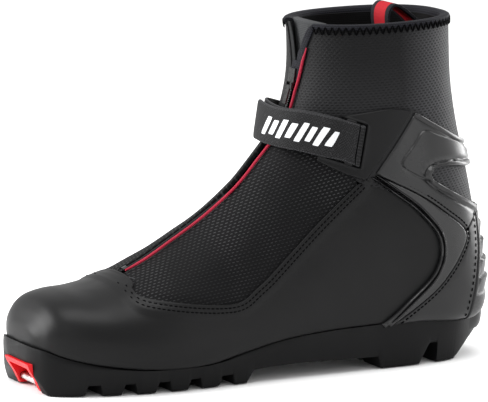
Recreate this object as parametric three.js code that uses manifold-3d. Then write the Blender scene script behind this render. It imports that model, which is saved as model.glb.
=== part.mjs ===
// Cross country ski boot, left foot. Millimetres, +Z up, toe towards -X, outer side towards -Y.
import * as THREE from "three";
import { mergeVertices } from "three/addons/utils/BufferGeometryUtils.js";
import Module from "manifold-3d";

const wasm = await Module();
wasm.setup();

// ---------------------------------------------------------------- driving dimensions
const LENGTH = 294; // toe of the sole to the heel bumper
const BALL_WIDTH = 95; // widest part of the upper
const SHAFT_HEIGHT = 197; // ground to the collar rim

const GAP = 0.3; // running gap between neighbouring pieces
const SKIN = 1.8; // outer fabric and leather
const PADDING = 1.2; // stiffeners, eyestays and insulation
const LINING = 2.4;
const BOARD = 2.2; // lasting board
const FOOTBED = 4;
const PLATE = 1.8; // strap wings, side bands and heel counter
const CUFF = 2.3; // moulded ankle cuff
const BUMPER = 2.8; // ribbed guard on top of the heel counter
const TONGUE = 2.6;
const TONGUE_HALF = 22; // half the tongue's width
const EYESTAY_OUT = 21; // outer edge of an eyestay from the middle line

const ZIP_OPEN = 5; // half the gap between the two lace covers
const COIL_HALF = 1.2;
const PIPING_RADIUS = 1;
const SLIDER = { length: 9, width: 7, low: 0.6, high: 2.6 };
const PULL = { length: 11, width: 3.6, thick: 1.1 };
const EAR_LENGTH = 2.6; // the slider's two ears, which hold the pull

const STRAP_WIDTH = 23;
const STRAP_THICK = 1.5;
const PATCH_THICK = 0.7; // hook and loop patches
const STRAP_SLOPE = 0.33; // fall of the strap from front to side, per mm
const STRAP_HEIGHT = 141.9; // of the strap's middle line at its front, before scaling
const SLOT_WIDTH = 4.6; // along the strap
const SLOT_BAR = 5; // bar that the strap folds over, in front of the slot

const LUG_HEIGHT = 6;
const GROOVE = { inner: 8, outer: 13, depth: 4 }; // guide grooves for the ski binding's rails
const TOE_GAP_HALF = 15; // half the gap between the sole's two toe ears
const INSERT_WALL = 3;
const JAW_GAP = 5; // room for the binding's jaw behind the bar
const BAR = { x: -136.6, z: 4.9, radius: 2, half: 22 };
const SHANK = { x0: -22, x1: 78, half: 8, thick: 2 };
const RIVET = { shaft: 1.5, head: 3.2, rise: 1.4 };
const LOOP = { width: 20, thick: 1.6 };

// The nominal last is 294 long, 95 wide and 197 high. Its places scale with the driving dimensions.
const kx = LENGTH / 294;
const ky = BALL_WIDTH / 95;
const kz = SHAFT_HEIGHT / 197;
const at = ([x, z]) => [x * kx, z * kz];

// ---------------------------------------------------------------- the last
// The instep runs up to the shin on one arc, in front of the boot.
const INSTEP = { x: -65.1, z: 178.4, radius: 91.5 };
const onInstep = (degrees) => {
  const a = THREE.MathUtils.degToRad(degrees);
  return [
    INSTEP.x + INSTEP.radius * Math.cos(a),
    INSTEP.z + INSTEP.radius * Math.sin(a),
  ];
};

// Sections fan from the toe along the sole, round the heel and up to the rim.
// bottom and top: ends of the section in the middle plane; half: half width; wide: where along the
// section it is widest; flat: half width of the flat bottom over half; crown: roundness of the top.
const section = (bottom, top, half, wide, flat, crown, mid = 0) => ({
  bottom: at(bottom),
  top: at(top),
  half: half * ky,
  wide,
  flat,
  crown,
  mid: mid * ky,
});
const SECTIONS = [
  section([-145.6, 28.5], [-145.8, 30.5], 4, 0.3, 0.92, 2.2, 4),
  section([-145, 28], [-145.3, 35], 14, 0.3, 0.92, 2.2, 4),
  section([-143.2, 27.3], [-143.4, 40], 21, 0.3, 0.92, 2.2, 4),
  section([-139.6, 25.5], [-139.4, 46.5], 28, 0.3, 0.92, 2.2, 3.6),
  section([-133, 22.4], [-132.6, 52.5], 34, 0.29, 0.91, 2.3, 3.2),
  section([-122, 19.5], [-121.5, 56.2], 39.5, 0.28, 0.9, 2.3, 2.6),
  section([-107, 16.5], [-106.5, 57.7], 43.5, 0.28, 0.9, 2.3, 2),
  section([-88, 14], [-89, 61], 46.5, 0.27, 0.9, 2.2, 1.4),
  section([-68, 12.8], [-71, 68.2], 47.5, 0.26, 0.89, 2.1, 0.8),
  section([-46, 13.8], [-54, 77.8], 46.5, 0.25, 0.88, 2, 0.4),
  section([-22, 18.6], [-36.5, 88.2], 44, 0.26, 0.87, 1.9),
  section([4, 23.2], onInstep(-60), 42, 0.3, 0.87, 1.9),
  section([32, 25.6], onInstep(-51), 41, 0.34, 0.87, 1.95),
  section([62, 26.4], onInstep(-42), 40.5, 0.39, 0.85, 2),
  section([92, 27.2], onInstep(-34), 40.5, 0.44, 0.82, 2.1),
  section([119, 25.4], onInstep(-27.5), 41, 0.48, 0.68, 2.2),
  section([137.5, 27.5], onInstep(-22), 41, 0.5, 0.4, 2.25),
  section([143.4, 42], onInstep(-17.5), 41, 0.52, 0.16, 2.3),
  section([142.2, 60], onInstep(-13.5), 40.8, 0.53, 0.08, 2.3),
  section([137.8, 82], onInstep(-9.5), 40.4, 0.53, 0.06, 2.3),
  section([131.8, 108], onInstep(-5.5), 39.8, 0.53, 0.06, 2.3),
  section([124.6, 135], onInstep(-1), 39.2, 0.53, 0.06, 2.3),
  section([120, 160], onInstep(4), 38.8, 0.53, 0.06, 2.3),
  section([118.6, 181], onInstep(8.5), 38.5, 0.53, 0.06, 2.3),
  section([118.2, 197], onInstep(12.3), 38.5, 0.53, 0.06, 2.3),
];
const LAST = SECTIONS.length - 1;
const SIDE_STEPS = 8; // facets up one side of a section
const HEEL_ROUNDNESS = 2.3;

// Catmull-Rom through the sections; past the rim the last two carry on in a straight line.
function sectionAt(s) {
  const i = Math.min(Math.max(Math.floor(s), 0), LAST - 1);
  const f = s - i;
  const pick = (k) => SECTIONS[Math.min(Math.max(k, 0), LAST)];
  const mix = (get) => {
    const [a, b, c, d] = [i - 1, i, i + 1, i + 2].map((k) => get(pick(k)));
    if (f > 1) return c + (c - b) * (f - 1);
    return (
      b +
      0.5 * f * (c - a + f * (2 * a - 5 * b + 4 * c - d + f * (3 * (b - c) + d - a)))
    );
  };
  return {
    bottom: [mix((q) => q.bottom[0]), mix((q) => q.bottom[1])],
    top: [mix((q) => q.top[0]), mix((q) => q.top[1])],
    half: mix((q) => q.half),
    wide: mix((q) => q.wide),
    flat: mix((q) => q.flat),
    crown: mix((q) => q.crown),
    mid: mix((q) => q.mid),
  };
}

// Half width of a section, over its widest, at the share t of the way from bottom to top.
function profile(q, t) {
  if (t < q.wide) {
    const rise = Math.pow(1 - Math.pow(1 - t / q.wide, HEEL_ROUNDNESS), 1 / HEEL_ROUNDNESS);
    return q.flat + (1 - q.flat) * rise;
  }
  const s = Math.min((t - q.wide) / (1 - q.wide), 1);
  return Math.pow(Math.max(1 - Math.pow(s, q.crown), 0), 1 / q.crown);
}

const TOE_FADE = 5; // sections over which a layer's depth also counts along X
const TIP_EXTRA = 0.6; // and the extra share of it at the very tip
function ring(s, depth) {
  const q = sectionAt(s);
  const dx = q.top[0] - q.bottom[0];
  const dz = q.top[1] - q.bottom[1];
  const length = Math.hypot(dx, dz);
  const shift = depth * (Math.max(0, 1 - s / TOE_FADE) + TIP_EXTRA * Math.max(0, 1 - s));
  const inset = Math.min(depth, length * 0.45);
  const half = Math.max(q.half - depth, 0.4);
  const place = (t, y) => {
    const along = inset + (length - 2 * inset) * t;
    return [q.bottom[0] + (dx * along) / length + shift, q.mid + y, q.bottom[1] + (dz * along) / length];
  };
  const points = [];
  for (let k = 0; k <= SIDE_STEPS; k++) {
    const t = (1 - Math.cos((Math.PI * k) / SIDE_STEPS)) / 2;
    points.push(place(t, -half * (k === SIDE_STEPS ? 0 : profile(q, t))));
  }
  for (let k = SIDE_STEPS - 1; k >= 0; k--) {
    const t = (1 - Math.cos((Math.PI * k) / SIDE_STEPS)) / 2;
    points.push(place(t, half * profile(q, t)));
  }
  return points;
}

// ---------------------------------------------------------------- solids
function solid(points, triangles) {
  const flat = new Float32Array(points.flat());
  const make = (tris) =>
    new wasm.Manifold(
      new wasm.Mesh({ numProp: 3, vertProperties: flat, triVerts: new Uint32Array(tris.flat()) }),
    );
  const made = make(triangles);
  return made.volume() > 0 ? made : make(triangles.map(([a, b, c]) => [a, c, b]));
}

function fromGeometry(geometry) {
  const bare = geometry.index ? geometry.toNonIndexed() : geometry.clone();
  bare.deleteAttribute("normal");
  bare.deleteAttribute("uv");
  const merged = mergeVertices(bare, 1e-4);
  const p = merged.attributes.position;
  const points = Array.from({ length: p.count }, (_, i) => [p.getX(i), p.getY(i), p.getZ(i)]);
  const triangles = [];
  for (let i = 0; i < merged.index.count; i += 3) {
    const t = [0, 1, 2].map((k) => merged.index.getX(i + k));
    if (new Set(t).size === 3) triangles.push(t);
  }
  return solid(points, triangles);
}

// Skins a row of equal rings, closed at both ends or round a hole (inner rings).
function loft(rings, capStart = true, capEnd = true) {
  const n = rings[0].length;
  const points = rings.flat();
  const triangles = [];
  for (let i = 0; i + 1 < rings.length; i++)
    for (let j = 0; j < n; j++) {
      const [a, b] = [i * n + j, i * n + ((j + 1) % n)];
      triangles.push([a, b, a + n], [b, b + n, a + n]);
    }
  const cap = (i, turn) => {
    const ringPoints = rings[i];
    const centre = points.length;
    points.push([0, 1, 2].map((k) => ringPoints.reduce((sum, p) => sum + p[k], 0) / n));
    for (let j = 0; j < n; j++) {
      const [a, b] = [i * n + j, i * n + ((j + 1) % n)];
      triangles.push(turn ? [b, a, centre] : [a, b, centre]);
    }
  };
  if (capStart) cap(0, true);
  if (capEnd) cap(rings.length - 1, false);
  return { points, triangles, n };
}

const range = (from, to) => {
  const stops = [from];
  for (let s = Math.floor(from) + 1; s < to; s++) stops.push(s);
  stops.push(to);
  return stops;
};
const core = (depth, to = LAST) => {
  const { points, triangles } = loft(range(0, to).map((s) => ring(s, depth)));
  return solid(points, triangles);
};

// The layer between two depths: a cup that is open at the rim.
function layer(outer, inner, to = LAST) {
  const a = loft(range(0, to).map((s) => ring(s, outer)), true, false);
  const b = loft(range(0, to).map((s) => ring(s, inner)), true, false);
  return solid(...join(a, b, (range(0, to).length - 1) * a.n));
}

// The layer between two depths from one section to another: a sleeve open at both ends.
function sleeve(outer, inner, from, to) {
  const stops = range(from, to);
  const a = loft(stops.map((s) => ring(s, outer)), false, false);
  const b = loft(stops.map((s) => ring(s, inner)), false, false);
  return solid(...join(a, b, (stops.length - 1) * a.n, 0));
}

function join(a, b, ...ringStarts) {
  const shift = a.points.length;
  const points = [...a.points, ...b.points];
  const triangles = [...a.triangles, ...b.triangles.map(([p, q, r]) => [p + shift, r + shift, q + shift])];
  ringStarts.forEach((start, end) => {
    for (let j = 0; j < a.n; j++) {
      const [p, q] = [start + j, start + ((j + 1) % a.n)];
      const quad = [
        [p, q, p + shift],
        [q, q + shift, p + shift],
      ];
      triangles.push(...(end === 0 ? quad : quad.map(([u, v, w]) => [u, w, v])));
    }
  });
  return [points, triangles];
}

// A side view outline (x, z), carried across the boot from y0 to y1.
function prism(outline, y0 = -100, y1 = 100) {
  const shape = new THREE.Shape(outline.map(([x, z]) => new THREE.Vector2(x, z)));
  const geometry = new THREE.ExtrudeGeometry(shape, { depth: y1 - y0, bevelEnabled: false });
  return fromGeometry(geometry.rotateX(Math.PI / 2).translate(0, y1, 0));
}

const box = (x0, x1, y0, y1, z0, z1) =>
  fromGeometry(
    new THREE.BoxGeometry(x1 - x0, y1 - y0, z1 - z0).translate((x0 + x1) / 2, (y0 + y1) / 2, (z0 + z1) / 2),
  );

const rodAlongY = (x, z, radius, y0, y1, sides = 16) =>
  fromGeometry(new THREE.CylinderGeometry(radius, radius, y1 - y0, sides).translate(x, (y0 + y1) / 2, z));

// A smooth line through a few places, as a list of points.
const curve = (points, steps) =>
  new THREE.SplineCurve(points.map(at).map(([x, z]) => new THREE.Vector2(x, z)))
    .getPoints(steps)
    .map((p) => [p.x, p.y]);

// A line moved sideways by a distance, to its left hand.
function beside(line, distance) {
  return line.map((p, i) => {
    const a = line[Math.max(i - 1, 0)];
    const b = line[Math.min(i + 1, line.length - 1)];
    const l = Math.hypot(b[0] - a[0], b[1] - a[1]);
    return [p[0] - ((b[1] - a[1]) / l) * distance, p[1] + ((b[0] - a[0]) / l) * distance];
  });
}
const seamCut = (line, width = GAP, y0, y1) =>
  prism([...beside(line, width / 2), ...beside(line, -width / 2).reverse()], y0, y1);

const materials = {
  leather: { color: 0x121214, roughness: 0.5 },
  mesh: { color: 0x17181a, roughness: 0.8 },
  collar: { color: 0x2a2b2d, roughness: 0.9 },
  binding: { color: 0x14161c, roughness: 0.9 },
  plastic: { color: 0x1b1c1d, roughness: 0.4 },
  darkPlastic: { color: 0x111112, roughness: 0.6 },
  rubber: { color: 0x0c0c0d, roughness: 0.7 },
  red: { color: 0xb0182a, roughness: 0.5 },
  steel: { color: 0xb8babd, roughness: 0.3, metalness: 1 },
  webbing: { color: 0x151517, roughness: 0.85 },
  lining: { color: 0x0e0e10, roughness: 1 },
  board: { color: 0x8a8070, roughness: 0.9 },
};
const boot = new THREE.Group();
function add(name, manifold, material) {
  const mesh = manifold.getMesh();
  const geometry = new THREE.BufferGeometry();
  geometry.setAttribute("position", new THREE.BufferAttribute(new Float32Array(mesh.vertProperties), 3));
  geometry.setIndex(new THREE.BufferAttribute(new Uint32Array(mesh.triVerts), 1));
  geometry.computeVertexNormals();
  const piece = new THREE.Mesh(geometry, new THREE.MeshStandardMaterial(materials[material]));
  piece.name = name;
  boot.add(piece);
}
const biggest = (manifold) =>
  manifold.decompose().reduce((best, m) => (m.volume() > best.volume() ? m : best));

// ---------------------------------------------------------------- seams and edges, in side view
const FAR = 190;
const vampSeam = curve(
  [
    [-90.5, 78],
    [-91.4, 60],
    [-92.8, 54.6],
    [-85, 49.8],
    [-60, 45],
    [-38, 43.1],
    [-28.2, 47.5],
    [-4.6, 65.1],
    [46.9, 109.3],
  ],
  24,
);
const collarSeam = [
  [46.9, 109.3],
  [72, 102],
  [98, 87],
  [FAR, 80],
].map(at);
const laceTop = [
  [46.9, 109.3],
  [37, 120],
  [-12, 146],
].map(at);
const groove = [
  [80.2, 148.7],
  [53.7, 111.8],
].map(at);
const cuffTop = curve(
  [
    [80.2, 148.7],
    [97.6, 139.1],
    [113.4, 131.1],
    [132, 124],
  ],
  6,
);
// The front rim of the side bands: from the wing down round to the sole.
const frontRim = curve(
  [
    [53.7, 111.8],
    [68.9, 101.2],
    [83.7, 90.3],
    [98.3, 73.5],
    [96.4, 55.9],
    [77.9, 37.8],
    [60, 22],
  ],
  14,
);
// The rear rim of the side bands: from the groove to a round point near the back and to the sole.
const rearRim = curve(
  [
    [57.2, 113.8],
    [83.6, 100.9],
    [101.2, 89.7],
    [117.9, 76.5],
    [114.2, 64],
    [97.1, 43.8],
    [66, 22],
  ],
  14,
);
const counterTop = [rearRim[7], at([131, 87]), at([FAR, 90])];
const bumperSeam = curve(
  [
    [134, 85],
    [136.7, 72.8],
    [136, 57],
    [130.6, 33.1],
    [127, 10],
  ],
  9,
);
const wingBottom = curve(
  [
    [24.9, 121.5],
    [39.3, 114.2],
    [53.7, 109.5],
  ],
  5,
);

// ---------------------------------------------------------------- outer skin
const skin = layer(0, SKIN);
const vampOutline = [
  [-FAR, -5],
  [-FAR, vampSeam[0][1]],
  ...vampSeam,
  ...collarSeam.slice(1),
  [FAR, -5],
];
const laceOutline = [...vampSeam, ...laceTop.slice(1), [-FAR, laceTop[2][1]], [-FAR, vampSeam[0][1]]];
const collarOutline = [
  ...laceTop.slice().reverse(),
  ...collarSeam.slice(1),
  [FAR, SHAFT_HEIGHT + 20],
  [-FAR, SHAFT_HEIGHT + 20],
  [-FAR, laceTop[2][1]],
];
const seams = seamCut(vampSeam).add(seamCut(collarSeam)).add(seamCut(laceTop));

// The front opening: the zip's gap, and the V above the slider.
const SLIDER_ANGLE = -7.8; // degrees round the instep arc, zip closed
const [sliderX, sliderZ] = at(onInstep(SLIDER_ANGLE));
const V_SPREAD = 0.26;
const zipCut = box(-FAR, 60 * kx, -ZIP_OPEN, ZIP_OPEN, vampSeam[0][1] - 18, SHAFT_HEIGHT + 20);
const vPart = (spare) => {
  const half = ZIP_OPEN + V_SPREAD * (SHAFT_HEIGHT + 20 - sliderZ) + spare;
  const shape = new THREE.Shape([
    new THREE.Vector2(-ZIP_OPEN - spare, sliderZ),
    new THREE.Vector2(ZIP_OPEN + spare, sliderZ),
    new THREE.Vector2(half, SHAFT_HEIGHT + 20),
    new THREE.Vector2(-half, SHAFT_HEIGHT + 20),
  ]);
  const geometry = new THREE.ExtrudeGeometry(shape, { depth: 70 * kx, bevelEnabled: false });
  // The shape's x runs across the boot and its y runs up.
  geometry.applyMatrix4(
    new THREE.Matrix4().makeBasis(
      new THREE.Vector3(0, 1, 0),
      new THREE.Vector3(0, 0, 1),
      new THREE.Vector3(1, 0, 0),
    ),
  );
  return fromGeometry(geometry.translate(-5 * kx, 0, 0));
};
const frontOpening = zipCut.add(vPart(0));

add("vamp_shell", biggest(skin.intersect(prism(vampOutline)).subtract(seams)), "leather");
const lace = skin.intersect(prism(laceOutline)).subtract(seams).subtract(zipCut);
add("lace_cover_outer", biggest(lace.intersect(box(-FAR, FAR, -100, 0, -10, 300))), "mesh");
add("lace_cover_inner", biggest(lace.intersect(box(-FAR, FAR, 0, 100, -10, 300))), "mesh");
add("collar_sleeve", biggest(skin.intersect(prism(collarOutline)).subtract(seams).subtract(frontOpening)), "collar");

// ---------------------------------------------------------------- padding, lining and tongue
const PAD_TOP = SKIN + GAP;
const PAD_LOW = PAD_TOP + PADDING;
const LINE_TOP = PAD_LOW + GAP;
const LINE_LOW = LINE_TOP + LINING;
const padding = layer(PAD_TOP, PAD_LOW);
const puffLine = curve(
  [
    [-98, 90],
    [-104, 40],
    [-112, -5],
  ],
  3,
);
const stiffenerLine = curve(
  [
    [FAR, 92],
    [112, 84],
    [88, 60],
    [84, -5],
  ],
  7,
);
const puffSide = prism([[-FAR, 90 * kz], ...puffLine, [-FAR, -5]]);
const stiffenerSide = prism([...stiffenerLine, [FAR, -5]]);
const collarSide = prism(collarOutline);
const paddingSeams = seamCut(puffLine).add(seamCut(stiffenerLine)).add(seamCut(collarSeam)).add(seamCut(laceTop));
// The strip of the front from the zip's foot to the rim, of a given half width.
const frontStrip = (half) =>
  box(-86 * kx, 60 * kx, -half, half, vampSeam[0][1] - 18, SHAFT_HEIGHT + 20);
const eyestayTop = prism([
  [-FAR, -5],
  [-FAR, 160 * kz],
  [60 * kx, 160 * kz],
  [60 * kx, -5],
]);
const stays = padding
  .intersect(frontStrip(EYESTAY_OUT))
  .subtract(frontStrip(ZIP_OPEN + 3))
  .intersect(eyestayTop);
add("eyestay_outer", biggest(stays.intersect(box(-FAR, FAR, -100, 0, -10, 300))), "leather");
add("eyestay_inner", biggest(stays.intersect(box(-FAR, FAR, 0, 100, -10, 300))), "leather");
add("toe_puff", biggest(padding.intersect(puffSide).subtract(paddingSeams)), "board");
add("heel_stiffener", biggest(padding.intersect(stiffenerSide).subtract(paddingSeams)), "board");
const strippedPadding = padding.subtract(frontStrip(EYESTAY_OUT + GAP)).subtract(paddingSeams);
add("insulation", biggest(strippedPadding.subtract(puffSide).subtract(stiffenerSide).subtract(collarSide)), "lining");
add("collar_foam", biggest(strippedPadding.intersect(collarSide).subtract(stiffenerSide)), "lining");
const BINDING_DEPTH = 0.38; // sections that the binding reaches down from the rim
const BINDING = 0.8;
const LINING_TOP = LAST - BINDING_DEPTH - 0.03;
add("lining", biggest(layer(LINE_TOP, LINE_LOW, LINING_TOP).subtract(frontStrip(TONGUE_HALF + GAP))), "lining");
const TONGUE_TOP = LINE_TOP + BINDING + GAP;
add("tongue", biggest(layer(TONGUE_TOP, TONGUE_TOP + TONGUE).intersect(frontStrip(TONGUE_HALF))), "collar");
const bindingTape = sleeve(-GAP - BINDING, LINE_TOP + BINDING, LAST - BINDING_DEPTH, LAST + 0.08)
  .subtract(sleeve(-GAP, LINE_TOP, LAST - BINDING_DEPTH - 0.2, LAST + 0.02));
add("collar_binding", biggest(bindingTape.subtract(vPart(GAP))), "binding");

// The bottom edge of every layer follows the sections' bottom ends.
const bottomLine = (rise, from, to) => {
  const line = [];
  for (let s = from; s <= to; s++) line.push([SECTIONS[s].bottom[0], SECTIONS[s].bottom[1] + rise]);
  return line;
};
const HEEL_SECTION = 16;
const slab = (low, high, from = 0, to = HEEL_SECTION) => [
  ...bottomLine(low, from, to),
  ...bottomLine(high, from, to).reverse(),
];
const BOARD_LOW = LINE_LOW + GAP;
const BED_LOW = BOARD_LOW + BOARD + GAP;
const inside = core(LINE_LOW + 1.2);
add("lasting_board", biggest(inside.intersect(prism(slab(BOARD_LOW, BOARD_LOW + BOARD, 3)))), "board");
add("footbed", biggest(inside.intersect(prism(slab(BED_LOW, BED_LOW + FOOTBED, 3)))), "mesh");

// ---------------------------------------------------------------- moulded parts on the outside
const HEEL_BOTTOM = SECTIONS[HEEL_SECTION].bottom[1];
const underfoot = prism([
  [-FAR, -50],
  [-FAR, SECTIONS[0].bottom[1]],
  ...bottomLine(GAP, 0, HEEL_SECTION),
  [FAR, HEEL_BOTTOM + GAP],
  [FAR, -50],
]);
const plateLayer = layer(-GAP - PLATE, -GAP, LAST - 1).subtract(underfoot);
const cuffLayer = layer(-GAP - CUFF, -GAP, LAST - 1);

const cuffOutline = [
  groove[1],
  ...cuffTop,
  [FAR, cuffTop[cuffTop.length - 1][1]],
  ...counterTop.slice(1).reverse(),
  ...rearRim.slice(0, 8).reverse(),
];
// The cut-out that shows the fabric, round the back from side to side.
const cutOut = [
  at([FAR, 108]),
  ...curve(
    [
      [134, 110],
      [108, 115],
      [94.5, 114.5],
      [94, 108.5],
      [131, 88.5],
    ],
    10,
  ),
  at([FAR, 87]),
];
const rimCuts = seamCut([rearRim[0], ...frontRim])
  .add(seamCut(rearRim))
  .add(seamCut([at([84, 153.6]), ...groove]))
  .add(seamCut(counterTop));
add(
  "ankle_cuff",
  biggest(cuffLayer.intersect(prism(cuffOutline)).subtract(prism(cutOut)).subtract(rimCuts)),
  "plastic",
);

const counterOutline = [...rearRim.slice(7), [FAR, 0], ...counterTop.slice().reverse()];
add(
  "heel_counter",
  biggest(plateLayer.intersect(prism(counterOutline)).subtract(rimCuts).subtract(prism(cuffOutline))),
  "plastic",
);
const bandOutline = [...frontRim, ...rearRim.slice().reverse()];
const bands = plateLayer.intersect(prism(bandOutline)).subtract(rimCuts);
add("side_band_outer", biggest(bands.intersect(box(-FAR, FAR, -100, 0, -10, 300))), "plastic");
add("side_band_inner", biggest(bands.intersect(box(-FAR, FAR, 0, 100, -10, 300))), "plastic");

// The wings hold the strap: the outer one has the slot and its bar, the inner one is plain.
const slant = 0.153; // lean of the slot, x per z
const slotLine = (x) => [at([x + slant * 12.5, 143.5]), at([x - slant * 12.5, 118.5])];
const SLOT_X = 49.7; // rear edge of the slot at its middle height
const strapZ = (x) => STRAP_HEIGHT * kz - STRAP_SLOPE * (x - 13 * kx);
// The stretch of the strap's outline between two slanted lines, in side view.
function strapOutline(x0, x1, half) {
  const [top0, low0] = slotLine(x0);
  const [top1, low1] = slotLine(x1);
  return [
    [low0[0], strapZ(low0[0]) - half],
    [low1[0], strapZ(low1[0]) - half],
    [top1[0], strapZ(top1[0]) + half],
    [top0[0], strapZ(top0[0]) + half],
  ];
}
const STRAP_HALF = (STRAP_WIDTH / 2) * Math.hypot(1, STRAP_SLOPE);
const slotHalf = STRAP_HALF + 0.6;
const wingTop = curve(
  [
    [80.2, 148.7],
    [66.3, 150.8],
    [53.9, 149.6],
    [38, 146.8],
  ],
  6,
);
const barFront = SLOT_X - SLOT_WIDTH - SLOT_BAR;
const innerWing = prism([...wingBottom, ...groove.slice().reverse(), ...wingTop.slice(1)]);
const wingSlot = prism(strapOutline(SLOT_X - SLOT_WIDTH, SLOT_X, slotHalf), -100, 0);
const wingBay = prism(strapOutline(0, SLOT_X - SLOT_WIDTH + 0.01, slotHalf), -100, 0);
const barOutline = strapOutline(barFront, SLOT_X - SLOT_WIDTH, STRAP_HALF + 3.5);
const BAR_LOW = GAP + STRAP_THICK + GAP;
const BAR_TOP = BAR_LOW + 1.5;
const slotBar = layer(-BAR_TOP, -BAR_LOW, LAST - 1)
  .add(layer(-BAR_TOP, -GAP, LAST - 1).subtract(prism(strapOutline(0, 80, slotHalf))))
  .intersect(prism(barOutline, -100, 0));
const wings = plateLayer.intersect(innerWing).subtract(rimCuts);
const outerWing = wings.intersect(box(-FAR, FAR, -100, 0, -10, 300)).subtract(wingSlot).subtract(wingBay);
add("strap_wing_outer", biggest(outerWing.add(slotBar)), "darkPlastic");

// ---------------------------------------------------------------- outsole
const SOLE_EDGE = 2.2; // the sole's edge past the upper's flat bottom
const SOLE_DRAFT = 3; // how much narrower the sole is at the ground
const edgePoint = (s, side, spare) => {
  const q = SECTIONS[s];
  return [q.bottom[0], q.mid + side * (q.flat * q.half + spare)];
};
const soleRing = (spare, z) => {
  const stops = Array.from({ length: HEEL_SECTION + 1 }, (_, s) => s);
  const outer = stops.map((s) => edgePoint(s, -1, spare));
  const inner = stops.map((s) => edgePoint(s, 1, spare)).reverse();
  const tail = [SECTIONS[HEEL_SECTION + 1].bottom[0] + spare, 0];
  const nose = [SECTIONS[0].bottom[0] - spare * 0.6, SECTIONS[0].mid];
  return [nose, ...outer, tail, ...inner].map(([x, y]) => [x, y, z]);
};
const soleTop = bottomLine(-GAP, 0, HEEL_SECTION);
const HEEL_TOP = soleTop[HEEL_SECTION][1];
const treads = [
  [-137.8, -120.5],
  [-110, -100],
  [-90.5, -80.3],
  [-70, -60.5],
  [-50.8, -40.5],
  [-29.5, -22],
];
const WAIST = 8.2;
const treadLine = treads.flatMap(([x0, x1], i) => [
  ...(i ? [[x0 - 2, LUG_HEIGHT]] : []),
  [x0, 0],
  [x1, 0],
  ...(i < treads.length - 1 ? [[x1 + 2, LUG_HEIGHT]] : []),
]);
const soleOutline = [
  ...soleTop,
  [FAR, HEEL_TOP],
  ...[
    [FAR, 15],
    [139.3, 14],
    [131.1, 9.8],
    [125.7, 5.9],
    [118.6, 0],
    [104, 0],
    [106.4, 12],
    [99.6, 12],
    [92.6, 0],
    [67.3, 0],
    [64.5, 7.2],
    [10, WAIST],
    [-17.5, 7.4],
  ].map(([x, z]) => [x * kx, z]),
  ...treadLine.reverse().map(([x, z]) => [x * kx, z]),
  [-141.8 * kx, 7.6],
  [-146.6 * kx, 16],
  [-FAR, 17],
  [-FAR, soleTop[0][1]],
];
const soleBody = solid(
  ...(() => {
    const { points, triangles } = loft([soleRing(SOLE_EDGE - SOLE_DRAFT, 0), soleRing(SOLE_EDGE, 31 * kz)]);
    return [points, triangles];
  })(),
);
const toeX = -160 * kx;
const hollowRear = BAR.x * kx + BAR.radius + JAW_GAP;
const toeGapRear = hollowRear + INSERT_WALL + GAP;
const toeGap = box(toeX, toeGapRear, -TOE_GAP_HALF, TOE_GAP_HALF, -1, 17);
const rails = [-1, 1].map((side) => {
  const [a, b] = [side * GROOVE.inner, side * GROOVE.outer].sort((p, q) => p - q);
  return box(-118 * kx, FAR, a, b, -1, GROOVE.depth);
});
const barHole = rodAlongY(BAR.x * kx, BAR.z, BAR.radius + GAP, -BAR.half - GAP, BAR.half + GAP);
const shankFloor = 14;
const shankPocket = box(
  SHANK.x0 * kx - GAP,
  SHANK.x1 * kx + GAP,
  -SHANK.half - GAP,
  SHANK.half + GAP,
  shankFloor - GAP,
  40,
);
add(
  "outsole",
  biggest(
    soleBody
      .intersect(prism(soleOutline))
      .subtract(toeGap)
      .subtract(rails[0])
      .subtract(rails[1])
      .subtract(barHole)
      .subtract(shankPocket),
  ),
  "rubber",
);
add(
  "shank",
  box(SHANK.x0 * kx, SHANK.x1 * kx, -SHANK.half, SHANK.half, shankFloor, shankFloor + SHANK.thick),
  "steel",
);
const insertHalf = TOE_GAP_HALF - GAP;
const insertSide = prism(
  [
    [toeGapRear - GAP, 17 - GAP],
    [-147 * kx, 17 - GAP],
    [-145.4 * kx, 13],
    [-141.8 * kx, 7.6],
    [-138.4 * kx, 1],
    [toeGapRear - GAP, 1],
  ],
  -insertHalf,
  insertHalf,
);
const insertHollow = box(
  toeX,
  hollowRear,
  -insertHalf + INSERT_WALL,
  insertHalf - INSERT_WALL,
  -1,
  17 - GAP - INSERT_WALL,
);
add("toe_insert", biggest(insertSide.subtract(insertHollow).subtract(barHole)), "red");
add("toe_bar", rodAlongY(BAR.x * kx, BAR.z, BAR.radius, -BAR.half, BAR.half), "steel");

// The heel bumper lies on the counter and hangs down behind the sole's heel.
const UNDER_BUMPER = 2 * GAP + PLATE;
const bumperLayer = layer(-UNDER_BUMPER - BUMPER, -UNDER_BUMPER, LAST - 1).subtract(underfoot);
const bumperOutline = [
  ...bumperSeam,
  [FAR, bumperSeam[bumperSeam.length - 1][1]],
  [FAR, bumperSeam[0][1]],
];
const LIP = { low: 15 * kz, high: 37 * kz };
const wall = (spare, low, high) => {
  const { points, triangles } = loft([soleRing(spare, low), soleRing(spare, high)]);
  return solid(points, triangles);
};
const lip = wall(SOLE_EDGE + GAP + BUMPER, LIP.low, LIP.high)
  .subtract(wall(SOLE_EDGE + GAP, LIP.low - 1, HEEL_TOP + 2 * GAP))
  .subtract(core(-UNDER_BUMPER, LAST - 1))
  .intersect(prism(bumperOutline));
add("heel_bumper", biggest(bumperLayer.intersect(prism(bumperOutline)).add(lip)), "rubber");

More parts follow.
